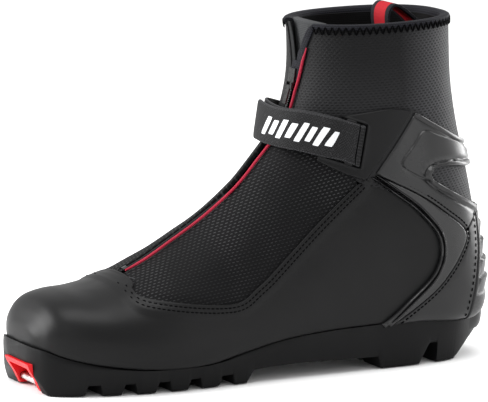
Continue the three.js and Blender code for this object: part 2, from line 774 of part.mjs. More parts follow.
// ---------------------------------------------------------------- zip
// A strip that follows the front's middle line. Its corners are (across, height above the line).
function frontStripAlong(from, to, steps, corners) {
  const rings = [];
  for (let k = 0; k <= steps; k++) {
    const s = from + ((to - from) * k) / steps;
    const [a, b, c] = [s - 0.02, s, s + 0.02].map((v) => sectionAt(v).top);
    const l = Math.hypot(c[0] - a[0], c[1] - a[1]);
    const out = [-(c[1] - a[1]) / l, (c[0] - a[0]) / l];
    rings.push(corners.map(([y, h]) => [b[0] + out[0] * h, y, b[1] + out[1] * h]));
  }
  const { points, triangles } = loft(rings);
  return solid(points, triangles);
}
const rect = (y0, y1, h0, h1) => [
  [y0, h0],
  [y1, h0],
  [y1, h1],
  [y0, h1],
];
const ZIP_FROM = 7.35; // sections where the zip starts and ends
const ZIP_TO = 19.2;
const ZIP_STEPS = 26;
add("zip_coil", frontStripAlong(ZIP_FROM, ZIP_TO, ZIP_STEPS, rect(-COIL_HALF, COIL_HALF, -1.5, 0.2)), "darkPlastic");
const tape = rect(COIL_HALF + GAP, ZIP_OPEN - GAP, -1.6, -0.8);
add("zip_tape_inner", frontStripAlong(ZIP_FROM, ZIP_TO, ZIP_STEPS, tape), "webbing");
add("zip_tape_outer", frontStripAlong(ZIP_FROM, ZIP_TO, ZIP_STEPS, tape.map(([y, h]) => [-y, h])), "webbing");
const stop = rect(-COIL_HALF - 1, COIL_HALF + 1, -1.5, 1);
add("zip_bottom_stop", frontStripAlong(ZIP_FROM - 0.16, ZIP_FROM - 0.03, 1, stop), "steel");
const pipingSides = 6;
const piping = Array.from({ length: pipingSides }, (_, k) => {
  const a = (2 * Math.PI * k) / pipingSides;
  return [
    -ZIP_OPEN - PIPING_RADIUS + PIPING_RADIUS * Math.cos(a),
    PIPING_RADIUS * Math.sin(a) + GAP + PIPING_RADIUS - 0.1,
  ];
});
add("red_piping", frontStripAlong(ZIP_FROM, LAST - 0.6, ZIP_STEPS, piping), "red");

// The slider and its pull, built level at the arc's own angle.
const alongArc = (degrees, from, to, y, low, high) => {
  const made = new THREE.BoxGeometry(high - low, 2 * y, to - from);
  made.translate(-(low + high) / 2, 0, (from + to) / 2);
  made.rotateY(THREE.MathUtils.degToRad(-degrees));
  const [x, z] = at(onInstep(degrees));
  return fromGeometry(made.translate(x, 0, z));
};
const halfSlider = SLIDER.length / 2;
const halfPull = PULL.length / 2;
const pullTop = SLIDER.high + PULL.thick;
const sliderBody = alongArc(SLIDER_ANGLE, -halfSlider, halfSlider, SLIDER.width / 2, SLIDER.low, SLIDER.high);
const ears = alongArc(SLIDER_ANGLE, -halfSlider - EAR_LENGTH, 1 - halfSlider, SLIDER.width / 2, SLIDER.low + 1, pullTop);
const between = alongArc(SLIDER_ANGLE, -FAR, FAR, PULL.width / 2 + GAP, SLIDER.low - 1, FAR);
add("zip_slider", sliderBody.add(ears.subtract(between)), "steel");
// The pull hangs from the ears, along the arc at its own middle.
const pullDrop = halfSlider + halfPull + PULL.thick;
const PULL_ANGLE = SLIDER_ANGLE - THREE.MathUtils.radToDeg(pullDrop / INSTEP.radius);
add("zip_pull", alongArc(PULL_ANGLE, -halfPull, halfPull, PULL.width / 2, SLIDER.high, pullTop), "steel");

// ---------------------------------------------------------------- strap
// Half width of the upper at a place in side view.
function halfWidthAt(x, z) {
  let best = { miss: Infinity };
  for (let s = 0; s <= LAST; s += 0.02) {
    const q = sectionAt(s);
    const [dx, dz] = [q.top[0] - q.bottom[0], q.top[1] - q.bottom[1]];
    const t = ((x - q.bottom[0]) * dx + (z - q.bottom[1]) * dz) / (dx * dx + dz * dz);
    const miss = Math.hypot(q.bottom[0] + dx * t - x, q.bottom[1] + dz * t - z);
    if (t > 0 && t < 1 && miss < best.miss) best = { miss, half: q.half * profile(q, t) };
  }
  return best.half;
}
const STRAP_RISE = 0.8; // how far the free strap stands off where it meets a wing
// The strap's inner face in plan, from the outer wing round the front to the inner wing.
const ON_INNER_WING = 2 * GAP + PLATE;
const outerStart = 37 * kx;
const innerStart = 40 * kx;
const strapPath = new THREE.CatmullRomCurve3(
  [
    [outerStart, -halfWidthAt(outerStart, strapZ(outerStart)) - GAP - STRAP_RISE],
    ...[
      [31, -29.6],
      [23.5, -24],
      [16, -17.2],
      [11.8, -8.8],
      [10.4, 0],
      [12, 9.5],
      [16, 18.5],
      [22, 26],
      [30, 33],
    ].map(([x, y]) => [x * kx, y * ky]),
    [innerStart, halfWidthAt(innerStart, strapZ(innerStart)) + ON_INNER_WING + STRAP_RISE],
  ].map(([x, y]) => new THREE.Vector3(x, y, 0)),
);
const STRAP_LEAN = { front: 13.5, side: -13 }; // degrees, and how much that changes at the sides
// A ribbon along the strap's path, between two heights above its inner face.
function ribbon(from, to, steps, low, high, width = STRAP_WIDTH) {
  const rings = [];
  for (let k = 0; k <= steps; k++) {
    const u = from + ((to - from) * k) / steps;
    const p = strapPath.getPointAt(u);
    const t = strapPath.getTangentAt(u);
    const out = new THREE.Vector3(-t.y, t.x, 0).normalize();
    p.z = strapZ(p.x);
    const lean = THREE.MathUtils.degToRad(STRAP_LEAN.front + STRAP_LEAN.side * Math.abs(out.y));
    const up = out.clone().multiplyScalar(-Math.sin(lean));
    up.z = Math.cos(lean);
    up.addScaledVector(t, STRAP_SLOPE * t.x).normalize();
    const place = (h, w) => {
      const v = p.clone().addScaledVector(out, h).addScaledVector(up, w);
      return [v.x, v.y, v.z];
    };
    rings.push([place(low, -width / 2), place(high, -width / 2), place(high, width / 2), place(low, width / 2)]);
  }
  const { points, triangles } = loft(rings);
  return solid(points, triangles);
}
const LOOP_LOW = STRAP_THICK + GAP;
const HOOK_LOW = LOOP_LOW + PATCH_THICK + GAP;
const TAIL_LOW = HOOK_LOW + PATCH_THICK + GAP;
const TAIL_END = 0.66; // share of the path that the folded tail covers
const PATCH = [0.1, 0.6];

// On the wings the strap lies in the boot's own layers.
const onWing = (low, high, x0, x1, y0, y1) =>
  layer(-high, -low, LAST - 1).intersect(prism(strapOutline(x0, x1, STRAP_HALF), y0, y1));
const foldFront = SLOT_X - (SLOT_WIDTH + STRAP_THICK) / 2;
const foldRear = foldFront + STRAP_THICK;
const OVERLAP = 2;
const baseStart = outerStart / kx - OVERLAP;
const TAIL_ON_WING = GAP + TAIL_LOW;
const baseOuter = onWing(GAP, GAP + STRAP_THICK, baseStart, foldRear, -100, 0);
const fold = onWing(GAP, TAIL_ON_WING + STRAP_THICK, foldFront, foldRear, -100, 0);
const ANCHOR_X = 53; // end of the strap on the inner wing
const baseInner = onWing(ON_INNER_WING, ON_INNER_WING + STRAP_THICK, innerStart / kx - OVERLAP, ANCHOR_X, 0, 100);
const rivetPlaces = [-6.5, 6.5].map((w) => [ANCHOR_X - 6 + slant * w, strapZ((ANCHOR_X - 6) * kx) / kz + w]);
// A rod that stands square to the inner side, between two heights above the upper.
function standing([x, z], radius, low, high, sides) {
  const slopeX = (halfWidthAt(x + 3, z) - halfWidthAt(x - 3, z)) / 6;
  const slopeZ = (halfWidthAt(x, z + 3) - halfWidthAt(x, z - 3)) / 6;
  const normal = new THREE.Vector3(-slopeX, 1, -slopeZ).normalize();
  const turn = new THREE.Quaternion().setFromUnitVectors(new THREE.Vector3(0, 1, 0), normal);
  const rod = new THREE.CylinderGeometry(radius, radius, high - low, sides).translate(0, (high + low) / 2, 0);
  return fromGeometry(rod.applyQuaternion(turn).translate(x, halfWidthAt(x, z), z));
}
const UNDER_HEAD = ON_INNER_WING + STRAP_THICK + GAP;
const rivets = rivetPlaces.map((place) => {
  const shaft = standing(at(place), RIVET.shaft, GAP + 0.5, UNDER_HEAD + 0.5, 10);
  const head = standing(at(place), RIVET.head, UNDER_HEAD, UNDER_HEAD + RIVET.rise, 14);
  return { solid: shaft.add(head), hole: standing(at(place), RIVET.shaft + GAP, -20, 20, 10) };
});
const rivetHoles = rivets[0].hole.add(rivets[1].hole);
add(
  "strap_base",
  biggest(ribbon(0, 1, 20, 0, STRAP_THICK).add(baseOuter).add(fold).add(baseInner).subtract(rivetHoles)),
  "webbing",
);
rivets.forEach((rivet, i) => add("strap_rivet_" + (i + 1), rivet.solid, "steel"));
const innerWingPlate = wings.intersect(box(-FAR, FAR, 0, 100, -10, 300)).subtract(rivetHoles);
add("strap_wing_inner", biggest(innerWingPlate), "darkPlastic");
add("loop_patch", ribbon(...PATCH, 12, LOOP_LOW, LOOP_LOW + PATCH_THICK, STRAP_WIDTH - 3), "webbing");
add("hook_patch", ribbon(...PATCH, 12, HOOK_LOW, HOOK_LOW + PATCH_THICK, STRAP_WIDTH - 3), "webbing");
const tailGap = 0.6; // between the tail's hinge end and the fold
const tailOnWing = onWing(
  TAIL_ON_WING,
  TAIL_ON_WING + STRAP_THICK,
  outerStart / kx - OVERLAP / 2,
  foldFront - tailGap,
  -100,
  0,
);
add(
  "strap_tail",
  biggest(ribbon(0, TAIL_END, 14, TAIL_LOW, TAIL_LOW + STRAP_THICK).add(tailOnWing)),
  "webbing",
);

// ---------------------------------------------------------------- pull loop
const backX = (z) => {
  for (let s = HEEL_SECTION; s < LAST; s += 0.02)
    if (sectionAt(s).bottom[1] >= z) return sectionAt(s).bottom[0];
  return SECTIONS[LAST].bottom[0];
};
const loopFoot = 168;
const anchorPatch = 1;
add(
  "loop_anchor",
  biggest(
    layer(LINE_LOW + GAP, LINE_LOW + GAP + anchorPatch, LINING_TOP - 0.1).intersect(
      box(80 * kx, FAR, -LOOP.width / 2 - 2, LOOP.width / 2 + 2, (loopFoot - 4) * kz, (loopFoot + 20) * kz),
    ),
  ),
  "webbing",
);
const BACK_CURVE = 2.1; // how far the round back comes forward across the loop's width
const loopBack = backX(loopFoot * kz + 9) - LINE_LOW - 2 * GAP - anchorPatch - BACK_CURVE;
const loopOuter = [
  [0, 17],
  [-4, 23],
  [-14, 32],
  [-23, 37.5],
  [-28, 35.5],
  [-29.5, 29],
  [-27, 17],
  [-20, 7],
  [-9, 1],
  [0, 0],
].map(([x, z]) => [loopBack + x, loopFoot * kz + z]);
const loopShape = new THREE.Shape(loopOuter.map(([x, z]) => new THREE.Vector2(x, z)));
const loopHole = beside([...loopOuter.slice(-1), ...loopOuter, loopOuter[0]], LOOP.thick).slice(1, -1);
loopShape.holes.push(new THREE.Path(loopHole.map(([x, z]) => new THREE.Vector2(x, z))));
const loopGeometry = new THREE.ExtrudeGeometry(loopShape, { depth: LOOP.width, bevelEnabled: false });
add(
  "pull_loop",
  fromGeometry(loopGeometry.rotateX(Math.PI / 2).translate(0, LOOP.width / 2, 0)),
  "red",
);

// ---------------------------------------------------------------- centre the part on its box
const bounds = new THREE.Box3().setFromObject(boot);
boot.position.set(-(bounds.min.x + bounds.max.x) / 2, -(bounds.min.y + bounds.max.y) / 2, 0);

export default boot;
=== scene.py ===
"""Looks of a black cross country ski boot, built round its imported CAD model.

Lengths are in millimetres until place() turns them into metres of the shared frame.
"""

import math

import bmesh
import bpy
import numpy as np
from mathutils import Matrix, Vector


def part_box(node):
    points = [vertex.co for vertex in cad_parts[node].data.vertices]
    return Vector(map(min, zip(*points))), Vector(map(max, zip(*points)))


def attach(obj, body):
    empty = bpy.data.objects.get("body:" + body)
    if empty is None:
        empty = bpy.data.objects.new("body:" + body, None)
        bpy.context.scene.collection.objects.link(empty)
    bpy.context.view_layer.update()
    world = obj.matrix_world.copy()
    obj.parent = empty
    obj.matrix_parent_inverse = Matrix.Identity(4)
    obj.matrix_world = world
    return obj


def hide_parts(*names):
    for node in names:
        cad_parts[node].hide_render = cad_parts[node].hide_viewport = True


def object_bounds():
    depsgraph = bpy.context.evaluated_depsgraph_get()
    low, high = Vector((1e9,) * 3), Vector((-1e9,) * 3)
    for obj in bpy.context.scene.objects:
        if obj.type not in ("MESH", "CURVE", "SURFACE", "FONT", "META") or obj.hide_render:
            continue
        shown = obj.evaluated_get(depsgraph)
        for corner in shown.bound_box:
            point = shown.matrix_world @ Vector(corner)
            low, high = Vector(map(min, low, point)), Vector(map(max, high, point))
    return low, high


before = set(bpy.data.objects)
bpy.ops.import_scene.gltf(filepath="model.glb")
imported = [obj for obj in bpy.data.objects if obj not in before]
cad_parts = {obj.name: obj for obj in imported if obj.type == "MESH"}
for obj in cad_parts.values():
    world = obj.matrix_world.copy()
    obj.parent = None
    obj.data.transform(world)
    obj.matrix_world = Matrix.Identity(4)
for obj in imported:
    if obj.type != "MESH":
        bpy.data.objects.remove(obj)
CAD_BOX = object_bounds()
MM = 0.001

# The part is centred on its box. The toe bar gives the shift from the last's own millimetres.
BAR = {"x": -136.6, "z": 4.9, "radius": 2.0, "half": 22.0}
bar_low, bar_high = (np.array(c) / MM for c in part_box("toe_bar"))
SHIFT = (bar_low + bar_high) / 2 - np.array([BAR["x"], 0, BAR["z"]])


def place(points):
    return (np.asarray(points, float) + SHIFT) * MM


# ---------------------------------------------------------------- camera
TILT = 0.02  # the boot's turn about the axis across it, toe up, in radians
STAND_X, STAND_Z = 4, 1
LENS = 313.4
LOOK_AT = (0, 0, 97.5)
AZIMUTH, ELEVATION, DISTANCE = math.radians(-28), math.radians(10.5), 2400.0
back = Vector(
    (
        math.sin(AZIMUTH) * math.cos(ELEVATION),
        -math.cos(AZIMUTH) * math.cos(ELEVATION),
        math.sin(ELEVATION),
    )
)
seen = Matrix(((1, 0, TILT, STAND_X), (0, 1, 0, 0), (-TILT, 0, 1, STAND_Z), (0, 0, 0, 1)))
pose = (-back).to_track_quat("-Z", "Y").to_matrix().to_4x4()
pose.translation = Vector(LOOK_AT) + back * DISTANCE
pose = seen.inverted() @ pose
camera = bpy.data.objects.new("camera", bpy.data.cameras.new("camera"))
bpy.context.collection.objects.link(camera)
camera.data.sensor_width = 36
camera.data.lens = LENS
camera.data.clip_start, camera.data.clip_end = 0.1, 20
camera.rotation_mode = "QUATERNION"
camera.rotation_quaternion = pose.to_quaternion().normalized()
camera.location = Vector(place(pose.translation))
bpy.context.scene.camera = camera

# ---------------------------------------------------------------- the last
ARC = {"x": -65.1, "z": 178.4, "radius": 91.5}


def on_arc(degrees):
    a = math.radians(degrees)
    return (ARC["x"] + ARC["radius"] * math.cos(a), ARC["z"] + ARC["radius"] * math.sin(a))


# The columns of a section: bottom and top, half width, where it is widest, flat bottom, crown, middle.
LOW_X, LOW_Z, TOP_X, TOP_Z, HALF, WIDEST, FLAT, CROWN, MIDDLE = range(9)
# A bare number for the top is an angle on the instep's arc.
ROWS = np.array(
    [
        [*low, *(top if isinstance(top, tuple) else on_arc(top)), *rest]
        for low, top, *rest in [
            ((-145.6, 28.5), (-145.8, 30.5), 4, 0.3, 0.92, 2.2, 4),
            ((-145, 28), (-145.3, 35), 14, 0.3, 0.92, 2.2, 4),
            ((-143.2, 27.3), (-143.4, 40), 21, 0.3, 0.92, 2.2, 4),
            ((-139.6, 25.5), (-139.4, 46.5), 28, 0.3, 0.92, 2.2, 3.6),
            ((-133, 22.4), (-132.6, 52.5), 34, 0.29, 0.91, 2.3, 3.2),
            ((-122, 19.5), (-121.5, 56.2), 39.5, 0.28, 0.9, 2.3, 2.6),
            ((-107, 16.5), (-106.5, 57.7), 43.5, 0.28, 0.9, 2.3, 2),
            ((-88, 14), (-89, 61), 46.5, 0.27, 0.9, 2.2, 1.4),
            ((-68, 12.8), (-71, 68.2), 47.5, 0.26, 0.89, 2.1, 0.8),
            ((-46, 13.8), (-54, 77.8), 46.5, 0.25, 0.88, 2, 0.4),
            ((-22, 18.6), (-36.5, 88.2), 44, 0.26, 0.87, 1.9, 0),
            ((4, 23.2), -60, 42, 0.3, 0.87, 1.9, 0),
            ((32, 25.6), -51, 41, 0.34, 0.87, 1.95, 0),
            ((62, 26.4), -42, 40.5, 0.39, 0.85, 2, 0),
            ((92, 27.2), -34, 40.5, 0.44, 0.82, 2.1, 0),
            ((119, 25.4), -27.5, 41, 0.48, 0.68, 2.2, 0),
            ((137.5, 27.5), -22, 41, 0.5, 0.4, 2.25, 0),
            ((143.4, 42), -17.5, 41, 0.52, 0.16, 2.3, 0),
            ((142.2, 60), -13.5, 40.8, 0.53, 0.08, 2.3, 0),
            ((137.8, 82), -9.5, 40.4, 0.53, 0.06, 2.3, 0),
            ((131.8, 108), -5.5, 39.8, 0.53, 0.06, 2.3, 0),
            ((124.6, 135), -1, 39.2, 0.53, 0.06, 2.3, 0),
            ((120, 160), 4, 38.8, 0.53, 0.06, 2.3, 0),
            ((118.6, 181), 8.5, 38.5, 0.53, 0.06, 2.3, 0),
            ((118.2, 197), 12.3, 38.5, 0.53, 0.06, 2.3, 0),
        ]
    ]
)
LAST = len(ROWS) - 1
HEEL = 16  # the last section that stands on the sole
SLIDER_ANGLE = -7.8
slider_z = on_arc(SLIDER_ANGLE)[1]
# The soft skin settles a little: back at the toe tip, down over the toes, out under the strap.
TOE_BACK = (2.0, 2.0, 2.0, 1.4, 0.7)
ROWS[0:5, LOW_X] += TOE_BACK
ROWS[0:5, TOP_X] += TOE_BACK
ROWS[0:4, LOW_Z] -= (2.2, 2.2, 2.0, 1.0)
ROWS[0, TOP_Z] -= 3.6
ROWS[2:11, TOP_Z] -= (0.6, 1.1, 1.5, 2.5, 2.9, 2.1, 1.7, 1.2, 0.6)
ROWS[LAST, LOW_Z] += 2.4
ROWS[LAST, TOP_Z] -= 1.4
ROWS[LAST - 1, LOW_Z] += 0.8
ROWS[LAST - 1 :, HALF] -= (0.6, 1.6)
BULGE = ((10, 0), (11, 0.8), (12, 2.6), (13, 3.8), (14, 2.8), (15, 1.2), (16, 0))
for row, out in BULGE:
    toward = np.array([ARC["x"], ARC["z"]]) - ROWS[row, TOP_X:HALF]
    ROWS[row, TOP_X:HALF] += toward / np.linalg.norm(toward) * out
HEEL_ROUNDNESS = 2.3
FAR = 190


def section_at(s):
    s = np.atleast_1d(np.asarray(s, float))
    i = np.clip(np.floor(s), 0, LAST - 1).astype(int)
    f = (s - i)[:, None]
    a, b, c, d = (ROWS[np.clip(i + k, 0, LAST)] for k in (-1, 0, 1, 2))
    inner = b + 0.5 * f * (c - a + f * (2 * a - 5 * b + 4 * c - d + f * (3 * (b - c) + d - a)))
    return np.where(f > 1, c + (c - b) * (f - 1), inner)


def profile(q, t):
    half, wide, flat, crown = q[:, HALF:MIDDLE].T
    low = np.clip(1 - t / wide, 0, 1)
    rise = (1 - low**HEEL_ROUNDNESS) ** (1 / HEEL_ROUNDNESS)
    up = np.clip((t - wide) / (1 - wide), 0, 1)
    return half * np.where(t < wide, flat + (1 - flat) * rise, (1 - up**crown) ** (1 / crown))


def surface(s, t, side):
    q = section_at(s)
    t = np.broadcast_to(np.asarray(t, float), len(q))
    x = q[:, LOW_X] + (q[:, TOP_X] - q[:, LOW_X]) * t
    z = q[:, LOW_Z] + (q[:, TOP_Z] - q[:, LOW_Z]) * t
    return np.stack([x, q[:, MIDDLE] + side * profile(q, t), z], 1)


# The whole outer surface as a fine grid: rows along the boot, rings round it.
PER_SECTION = 14
SIDE = 44
s_rows = np.linspace(0, LAST, LAST * PER_SECTION + 1)
t_side = (1 - np.cos(np.pi * np.arange(SIDE + 1) / SIDE)) / 2
t_ring = np.concatenate([t_side, t_side[-2::-1], [0, 0, 0]])
w_ring = np.concatenate([-np.ones(SIDE), [0], np.ones(SIDE), [0.5, 0, -0.5]])
grid = np.stack([surface(s_rows, np.full(len(s_rows), t), w) for t, w in zip(t_ring, w_ring)], 1)
along = np.gradient(grid, axis=0)
around = np.roll(grid, -1, 1) - np.roll(grid, 1, 1)
normals = np.cross(along, around)
normals /= np.linalg.norm(normals, axis=2)[:, :, None]
if normals[len(s_rows) // 2, SIDE // 2, 1] > 0:
    normals = -normals
steps = np.linalg.norm(np.diff(grid[:, : 2 * SIDE + 1], axis=1), axis=2)
arc = np.concatenate([np.zeros((len(s_rows), 1)), np.cumsum(steps, 1)], 1)
arc -= arc[:, SIDE : SIDE + 1]
arc = np.concatenate([arc, np.repeat(arc[:, :1], 3, 1)], 1)
POS, NRM, ARCLEN, ROW = slice(0, 3), slice(3, 6), 6, 7
ring_size = len(t_ring)
row_value = np.repeat(s_rows[:, None], ring_size, 1)
BASE = np.concatenate([grid, normals, arc[..., None], row_value[..., None]], 2).reshape(-1, 8)


def base_triangles():
    i, j = np.meshgrid(np.arange(len(s_rows) - 1), np.arange(ring_size), indexing="ij")
    a = i * ring_size + j
    b = i * ring_size + (j + 1) % ring_size
    c, d = b + ring_size, a + ring_size
    return np.concatenate([np.stack([a, d, b], 2), np.stack([b, d, c], 2)]).reshape(-1, 3)


BASE_TRIANGLES = base_triangles()
probe = BASE[BASE_TRIANGLES[len(BASE_TRIANGLES) // 5]]
if np.dot(np.cross(probe[1, POS] - probe[0, POS], probe[2, POS] - probe[0, POS]), probe[0, NRM]) < 0:
    BASE_TRIANGLES = BASE_TRIANGLES[:, ::-1]


def locate(x, z):
    """Section and share of the way up it at a place in side view."""
    flat_grid = grid[:, : SIDE + 1]
    miss = (flat_grid[..., 0] - x) ** 2 + (flat_grid[..., 2] - z) ** 2
    i, j = np.unravel_index(np.argmin(miss), miss.shape)
    s, t = s_rows[i], t_side[j]
    for _ in range(6):
        here = surface(s, t, 0)[0, [0, 2]]
        ds = (surface(s + 0.01, t, 0)[0, [0, 2]] - here) / 0.01
        dt = (surface(s, t + 0.001, 0)[0, [0, 2]] - here) / 0.001
        step = np.linalg.solve(np.stack([ds, dt], 1) + np.eye(2) * 1e-9, np.array([x, z]) - here)
        s = float(np.clip(s + np.clip(step[0], -0.5, 0.5), 0, LAST))
        t = float(np.clip(t + np.clip(step[1], -0.1, 0.1), 0.0005, 0.9995))
    return s, t


def on_surface(s, t, side):
    """Place and outward direction at a section, a share up it and a side."""
    here = surface(s, t, side)[0]
    ds = surface(min(s + 0.02, LAST), t, side)[0] - surface(max(s - 0.02, 0), t, side)[0]
    dt = surface(s, min(t + 0.002, 0.9999), side)[0] - surface(s, max(t - 0.002, 0), side)[0]
    n = np.cross(ds, dt) * side
    n = n / max(np.linalg.norm(n), 1e-9)
    q = section_at(s)[0]
    out = here - np.array([(q[LOW_X] + q[TOP_X]) / 2, q[MIDDLE], (q[LOW_Z] + q[TOP_Z]) / 2])
    return here, n if np.dot(n, out) > 0 else -n


def at_side(x, z, side):
    return on_surface(*locate(x, z), side)


def on_front(s, y):
    """Place and outward direction on the front, y from the middle plane."""
    q = section_at(s)[0]
    share = min(abs(y) / q[HALF], 0.999)
    t = q[WIDEST] + (1 - q[WIDEST]) * (1 - share ** q[CROWN]) ** (1 / q[CROWN])
    return on_surface(s, min(t, 0.9995), -1 if y < 0 else 1)


# ---------------------------------------------------------------- lines in side view
def spline(points, per=8):
    p = np.asarray(points, float)
    n = len(p)
    made = []
    for i in range(n - 1):
        a, b, c, d = p[max(i - 1, 0)], p[i], p[i + 1], p[min(i + 2, n - 1)]
        for f in np.arange(per) / per:
            made.append(b + 0.5 * f * (c - a + f * (2 * a - 5 * b + 4 * c - d + f * (3 * (b - c) + d - a))))
    return np.array(made + [p[-1]])


def beside(line, distance):
    line = np.asarray(line, float)
    t = np.gradient(line, axis=0)
    t /= np.linalg.norm(t, axis=1)[:, None]
    return line + np.stack([-t[:, 1], t[:, 0]], 1) * distance


def length_along(line):
    return np.concatenate([[0], np.cumsum(np.linalg.norm(np.diff(line, axis=0), axis=1))])


def resample(line, spacing):
    line = np.asarray(line, float)
    length = length_along(line)
    stops = np.linspace(0, length[-1], max(int(length[-1] / spacing), 2))
    return np.stack([np.interp(stops, length, line[:, k]) for k in range(line.shape[1])], 1)


def near(line):
    """Distance in side view from a line."""
    line = np.asarray(line, float)
    a, b = line[:-1], line[1:]

    def distance(A):
        p = A[:, [0, 2]]
        best = np.full(len(p), 1e9)
        for u, v in zip(a, b):
            d = v - u
            t = np.clip(((p - u) @ d) / max(d @ d, 1e-12), 0, 1)
            best = np.minimum(best, np.linalg.norm(p - u - t[:, None] * d, axis=1))
        return best

    return distance


def within(outline):
    """Distance inside a closed outline in side view, negative outside."""
    ring = np.asarray([*outline, outline[0]], float)
    edge = near(ring)

    def distance(A):
        x, z = A[:, 0], A[:, 2]
        inside = np.zeros(len(A), bool)
        for (x0, z0), (x1, z1) in zip(ring[:-1], ring[1:]):
            if z0 == z1:
                continue
            crosses = (z0 > z) != (z1 > z)
            inside ^= crosses & (x < (x1 - x0) * (z - z0) / (z1 - z0) + x0)
        return np.where(inside, 1, -1) * edge(A)

    return distance


vamp_seam = spline(
    [
        *((-83, 78), (-83.4, 60), (-86.6, 55.6), (-83.4, 52.4), (-62, 49)),
        *((-40, 47.2), (-28.5, 48.4), (-19, 54.4), (-4.6, 65.1), (46.9, 109.3)),
    ]
)
collar_seam = [(46.9, 109.3), (72, 102), (98, 87), (FAR, 80)]
lace_top = [(46.9, 109.3), (37, 120), (-12, 146)]
groove = [(80.2, 148.7), (53.7, 111.8)]
cuff_top = spline([(80.2, 148.7), (97.6, 139.1), (113.4, 131.1), (132, 124)])
front_rim = spline(
    [(53.7, 111.8), (68.9, 101.2), (83.7, 90.3), (98.3, 73.5), (96.4, 55.9), (77.9, 37.8), (60, 22)]
)
rear_rim = spline(
    [(57.2, 113.8), (83.6, 100.9), (101.2, 89.7), (117.9, 76.5), (114.2, 64), (97.1, 43.8), (66, 22)]
)
RIM_TIP = 24
counter_top = [tuple(rear_rim[RIM_TIP]), (131, 87), (FAR, 90)]
bumper_seam = spline([(128, 85), (129.4, 72.8), (128.6, 57), (125, 33.1), (123, 10)])
wing_bottom = spline([(24.9, 121.5), (39.3, 114.2), (53.7, 109.5)])
wing_top = spline([(80.2, 148.7), (66.3, 150.8), (53.9, 149.6), (38, 146.8)])
cut_out = [(FAR, 108), *spline([(134, 110), (108, 115), (94.5, 114.5), (94, 108.5), (131, 88.5)]), (FAR, 87)]
window = spline([(96, 133.8), (86.4, 137), (80, 130), (72.2, 120), (76, 115.6), (88, 109.5)], 6)
window_outline = [*window, (91.5, 107.8), (92, 117.5), (108, 118.5), (124, 114.5), (128, 119), (112, 128)]
vamp_outline = [(-FAR, -5), (-FAR, vamp_seam[0][1]), *vamp_seam, *collar_seam[1:], (FAR, -5)]
collar_outline = [*lace_top[::-1], *collar_seam[1:], (FAR, 230), (-FAR, 230), (-FAR, lace_top[2][1])]
cuff_outline = [groove[1], *cuff_top, (FAR, 124), *counter_top[1:][::-1], *rear_rim[: RIM_TIP + 1][::-1]]
counter_outline = [*rear_rim[RIM_TIP:], (FAR, 0), *counter_top[::-1]]
band_outline = [*front_rim, *rear_rim[::-1]]
bumper_outline = [*bumper_seam, (FAR, 10), (FAR, 85)]
wing_outline = [*wing_bottom, *groove[::-1], *wing_top[1:]]


# ---------------------------------------------------------------- patches of the surface
def compact(A, T):
    """Drops the points that no triangle uses."""
    used = np.unique(T)
    back_to = np.full(len(A), -1)
    back_to[used] = np.arange(len(used))
    return A[used], back_to[T]


def cut(A, T, f, level=0.0, keep=False):
    """Splits the triangles where f passes level. With keep, what lies below it goes."""
    f = np.where(np.abs(f - level) < 0.03, level, f) - level
    sign = np.sign(f).astype(int)
    tri = sign[T]
    crossing = (tri.max(1) > 0) & (tri.min(1) < 0)
    whole = T[~crossing & (tri.max(1) > 0)] if keep else T[~crossing]
    points, made, edges = [], [], {}
    count = len(A)

    def between(a, b):
        key = (a, b) if a < b else (b, a)
        if key not in edges:
            share = f[key[0]] / (f[key[0]] - f[key[1]])
            edges[key] = count + len(points)
            points.append(A[key[0]] * (1 - share) + A[key[1]] * share)
        return edges[key]

    for t in T[crossing]:
        ring = []
        for k in range(3):
            a, b = int(t[k]), int(t[(k + 1) % 3])
            ring.append((a, sign[a]))
            if sign[a] * sign[b] < 0:
                ring.append((between(a, b), 0))
        for want in (1, -1) if not keep else (1,):
            part = [v for v, g in ring if g * want >= 0]
            made += [(part[0], part[k], part[k + 1]) for k in range(1, len(part) - 1)]
    A = np.concatenate([A, np.array(points)]) if points else A
    return compact(A, np.concatenate([whole, np.array(made, int).reshape(-1, 3)]))


NEARBY = 8.0


def patch(*fields, lines=(), levels=(0.12, 0.4, 0.9, 1.6)):
    """The part of the surface where every field is positive, with rows of points beside its edge and along lines."""
    inside = np.min([f(BASE) for f in fields], 0)
    A, T = compact(BASE, BASE_TRIANGLES[(inside > -NEARBY)[BASE_TRIANGLES].any(1)])
    for f in fields:
        A, T = cut(A, T, f(A), 0.0, True)
    for level in levels:
        A, T = cut(A, T, np.min([f(A) for f in fields], 0), level)
    for f, stops in lines:
        for level in stops:
            A, T = cut(A, T, f(A), level)
    A[:, NRM] /= np.linalg.norm(A[:, NRM], axis=1)[:, None]
    return A, T


def rounded(d, radius):
    return np.sqrt(np.clip(1 - (1 - np.clip(d / radius, 0, 1)) ** 2, 0, 1))


def smooth(d, low, high):
    t = np.clip((d - low) / (high - low), 0, 1)
    return t * t * (3 - 2 * t)


def boundary(T):
    edges = np.concatenate([T[:, [0, 1]], T[:, [1, 2]], T[:, [2, 0]]])
    keys = np.sort(edges, 1)
    _, index, counts = np.unique(keys, axis=0, return_index=True, return_counts=True)
    return edges[index[counts == 1]]


def mesh_object(name, points, faces, material, uv, smooth_angle=40):
    mesh = bpy.data.meshes.new(name)
    mesh.from_pydata(place(points).tolist(), [], [list(map(int, f)) for f in faces])
    layer = mesh.uv_layers.new(name="Surface")
    loops = np.zeros(len(mesh.loops), int)
    mesh.loops.foreach_get("vertex_index", loops)
    layer.data.foreach_set("uv", np.asarray(uv, float)[loops].ravel())
    mesh.shade_smooth()
    mesh.set_sharp_from_angle(angle=math.radians(smooth_angle))
    obj = bpy.data.objects.new(name, mesh)
    bpy.context.collection.objects.link(obj)
    for m in material if isinstance(material, (list, tuple)) else [material]:
        obj.data.materials.append(m)
    return obj


